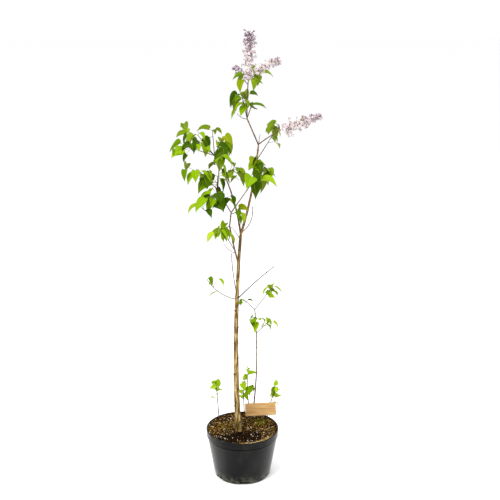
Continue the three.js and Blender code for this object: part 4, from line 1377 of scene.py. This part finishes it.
def rounded_slab(width, height, thickness, corner, bevel):
    """A slab with rounded corners and a small bevel, its faces along Y, in the middle of its own frame."""
    outline = []
    for sx, sz, start in ((1, 1, 0), (-1, 1, 90), (-1, -1, 180), (1, -1, 270)):
        for turn in np.radians(start + np.linspace(0, 90, 6)):
            middle = (sx * (width / 2 - corner), sz * (height / 2 - corner))
            outline.append((*middle, math.cos(turn), math.sin(turn)))
    x, z, out_x, out_z = np.array(outline).T
    half = thickness / 2
    rings = []
    for y, shrink in ((-half, bevel), (-half + bevel, 0), (half - bevel, 0), (half, bevel)):
        round_by = corner - shrink
        rings.append(np.stack([x + out_x * round_by, np.full(len(x), y), z + out_z * round_by], axis=-1))
    return loft(np.array(rings)[:, ::-1])


def label_board():
    """The bare board, tilted in its own plane."""
    slab = rounded_slab(LABEL["width"], LABEL["height"], LABEL["thickness"], LABEL_CORNER, LABEL_BEVEL)
    tilt = math.radians(LABEL["tilt"])
    turn = np.array([[math.cos(tilt), 0, -math.sin(tilt)], [0, 1, 0], [math.sin(tilt), 0, math.cos(tilt)]])
    slab.points = slab.points @ turn + LABEL["middle"]
    return slab


def label_stick():
    """The stick behind the board, from under the soil's top."""
    foot = SOIL_TOP - STICK_SUNK
    height = LABEL["stick_top"] - foot
    slab = rounded_slab(LABEL["stick_width"], height, LABEL["stick_thickness"], STICK_CORNER, STICK_BEVEL)
    back = LABEL["middle"][1] + LABEL["thickness"] / 2 + GAP + LABEL["stick_thickness"] / 2
    slab.points = slab.points + [LABEL["stick_x"], back, foot + height / 2]
    return slab


LABEL_COLORS = (srgb(166, 122, 64), srgb(190, 148, 90), srgb(208, 172, 120))
label_wood = material("label_wood", LABEL_COLORS, 0.6, (60, 60, 3), 0.15, 0.1)
STAKE_COLORS = (srgb(60, 44, 28), srgb(92, 70, 44))
stake_wood = material("stake_wood", STAKE_COLORS, 0.75, (3, 3, 20), 0.2, 0.1)
piece("label_face", [label_board()], "label", ["label_board"], label_wood, smooth=False)
piece("label_stake", [label_stick()], "label", ["label_stick"], stake_wood, smooth=False)

# ---- Studio ----

# The camera comes from a fit to the ellipses of the pot in the photograph.
CAMERA_AT = (0.0254, -2.738, 1.529)
CAMERA_TILT = 15.4
LENS = 64.8
FLOOR_HALF = 40.0
SKY_STRENGTH = 1.03

floor_mesh = bpy.data.meshes.new("floor")
corners = [(x * FLOOR_HALF, y * FLOOR_HALF, 0) for x, y in ((-1, -1), (1, -1), (1, 1), (-1, 1))]
floor_mesh.from_pydata(corners, [], [(0, 1, 2, 3)])
floor = bpy.data.objects.new("floor", floor_mesh)
bpy.context.scene.collection.objects.link(floor)
floor_mesh.materials.append(material("floor_paper", (srgb(251, 251, 251),), 0.9, (40, 40, 40), 0.0))

world = bpy.data.worlds.new("studio")
world.use_nodes = True
feed(world.node_tree, world.node_tree.nodes["Background"], Color=(1, 1, 1, 1), Strength=SKY_STRENGTH)
bpy.context.scene.world = world
bpy.context.scene.view_settings.view_transform = "Standard"


def soft_light(name, place, aim, size, power):
    """A square lamp at place that faces aim."""
    data = bpy.data.lights.new(name, "AREA")
    data.size = size
    data.energy = power
    lamp = bpy.data.objects.new(name, data)
    lamp.location = place
    away = np.array(place) - np.array(aim)
    level = math.hypot(away[0], away[1])
    lamp.rotation_euler = (math.atan2(level, away[2]), 0, math.atan2(away[0], -away[1]))
    bpy.context.scene.collection.objects.link(lamp)


AIM = (0, 0, 0.8)
soft_light("key", (-1.6, -2.2, 3.2), AIM, 1.4, 110)
soft_light("fill", (2.6, -1.8, 1.6), AIM, 1.6, 15)
soft_light("top", (0.4, 0.8, 3.6), AIM, 1.8, 40)

camera_data = bpy.data.cameras.new("camera")
camera_data.lens = LENS
camera = bpy.data.objects.new("camera", camera_data)
camera.location = CAMERA_AT
camera.rotation_euler = (math.radians(90 - CAMERA_TILT), 0, 0)
bpy.context.scene.collection.objects.link(camera)
bpy.context.scene.camera = camera
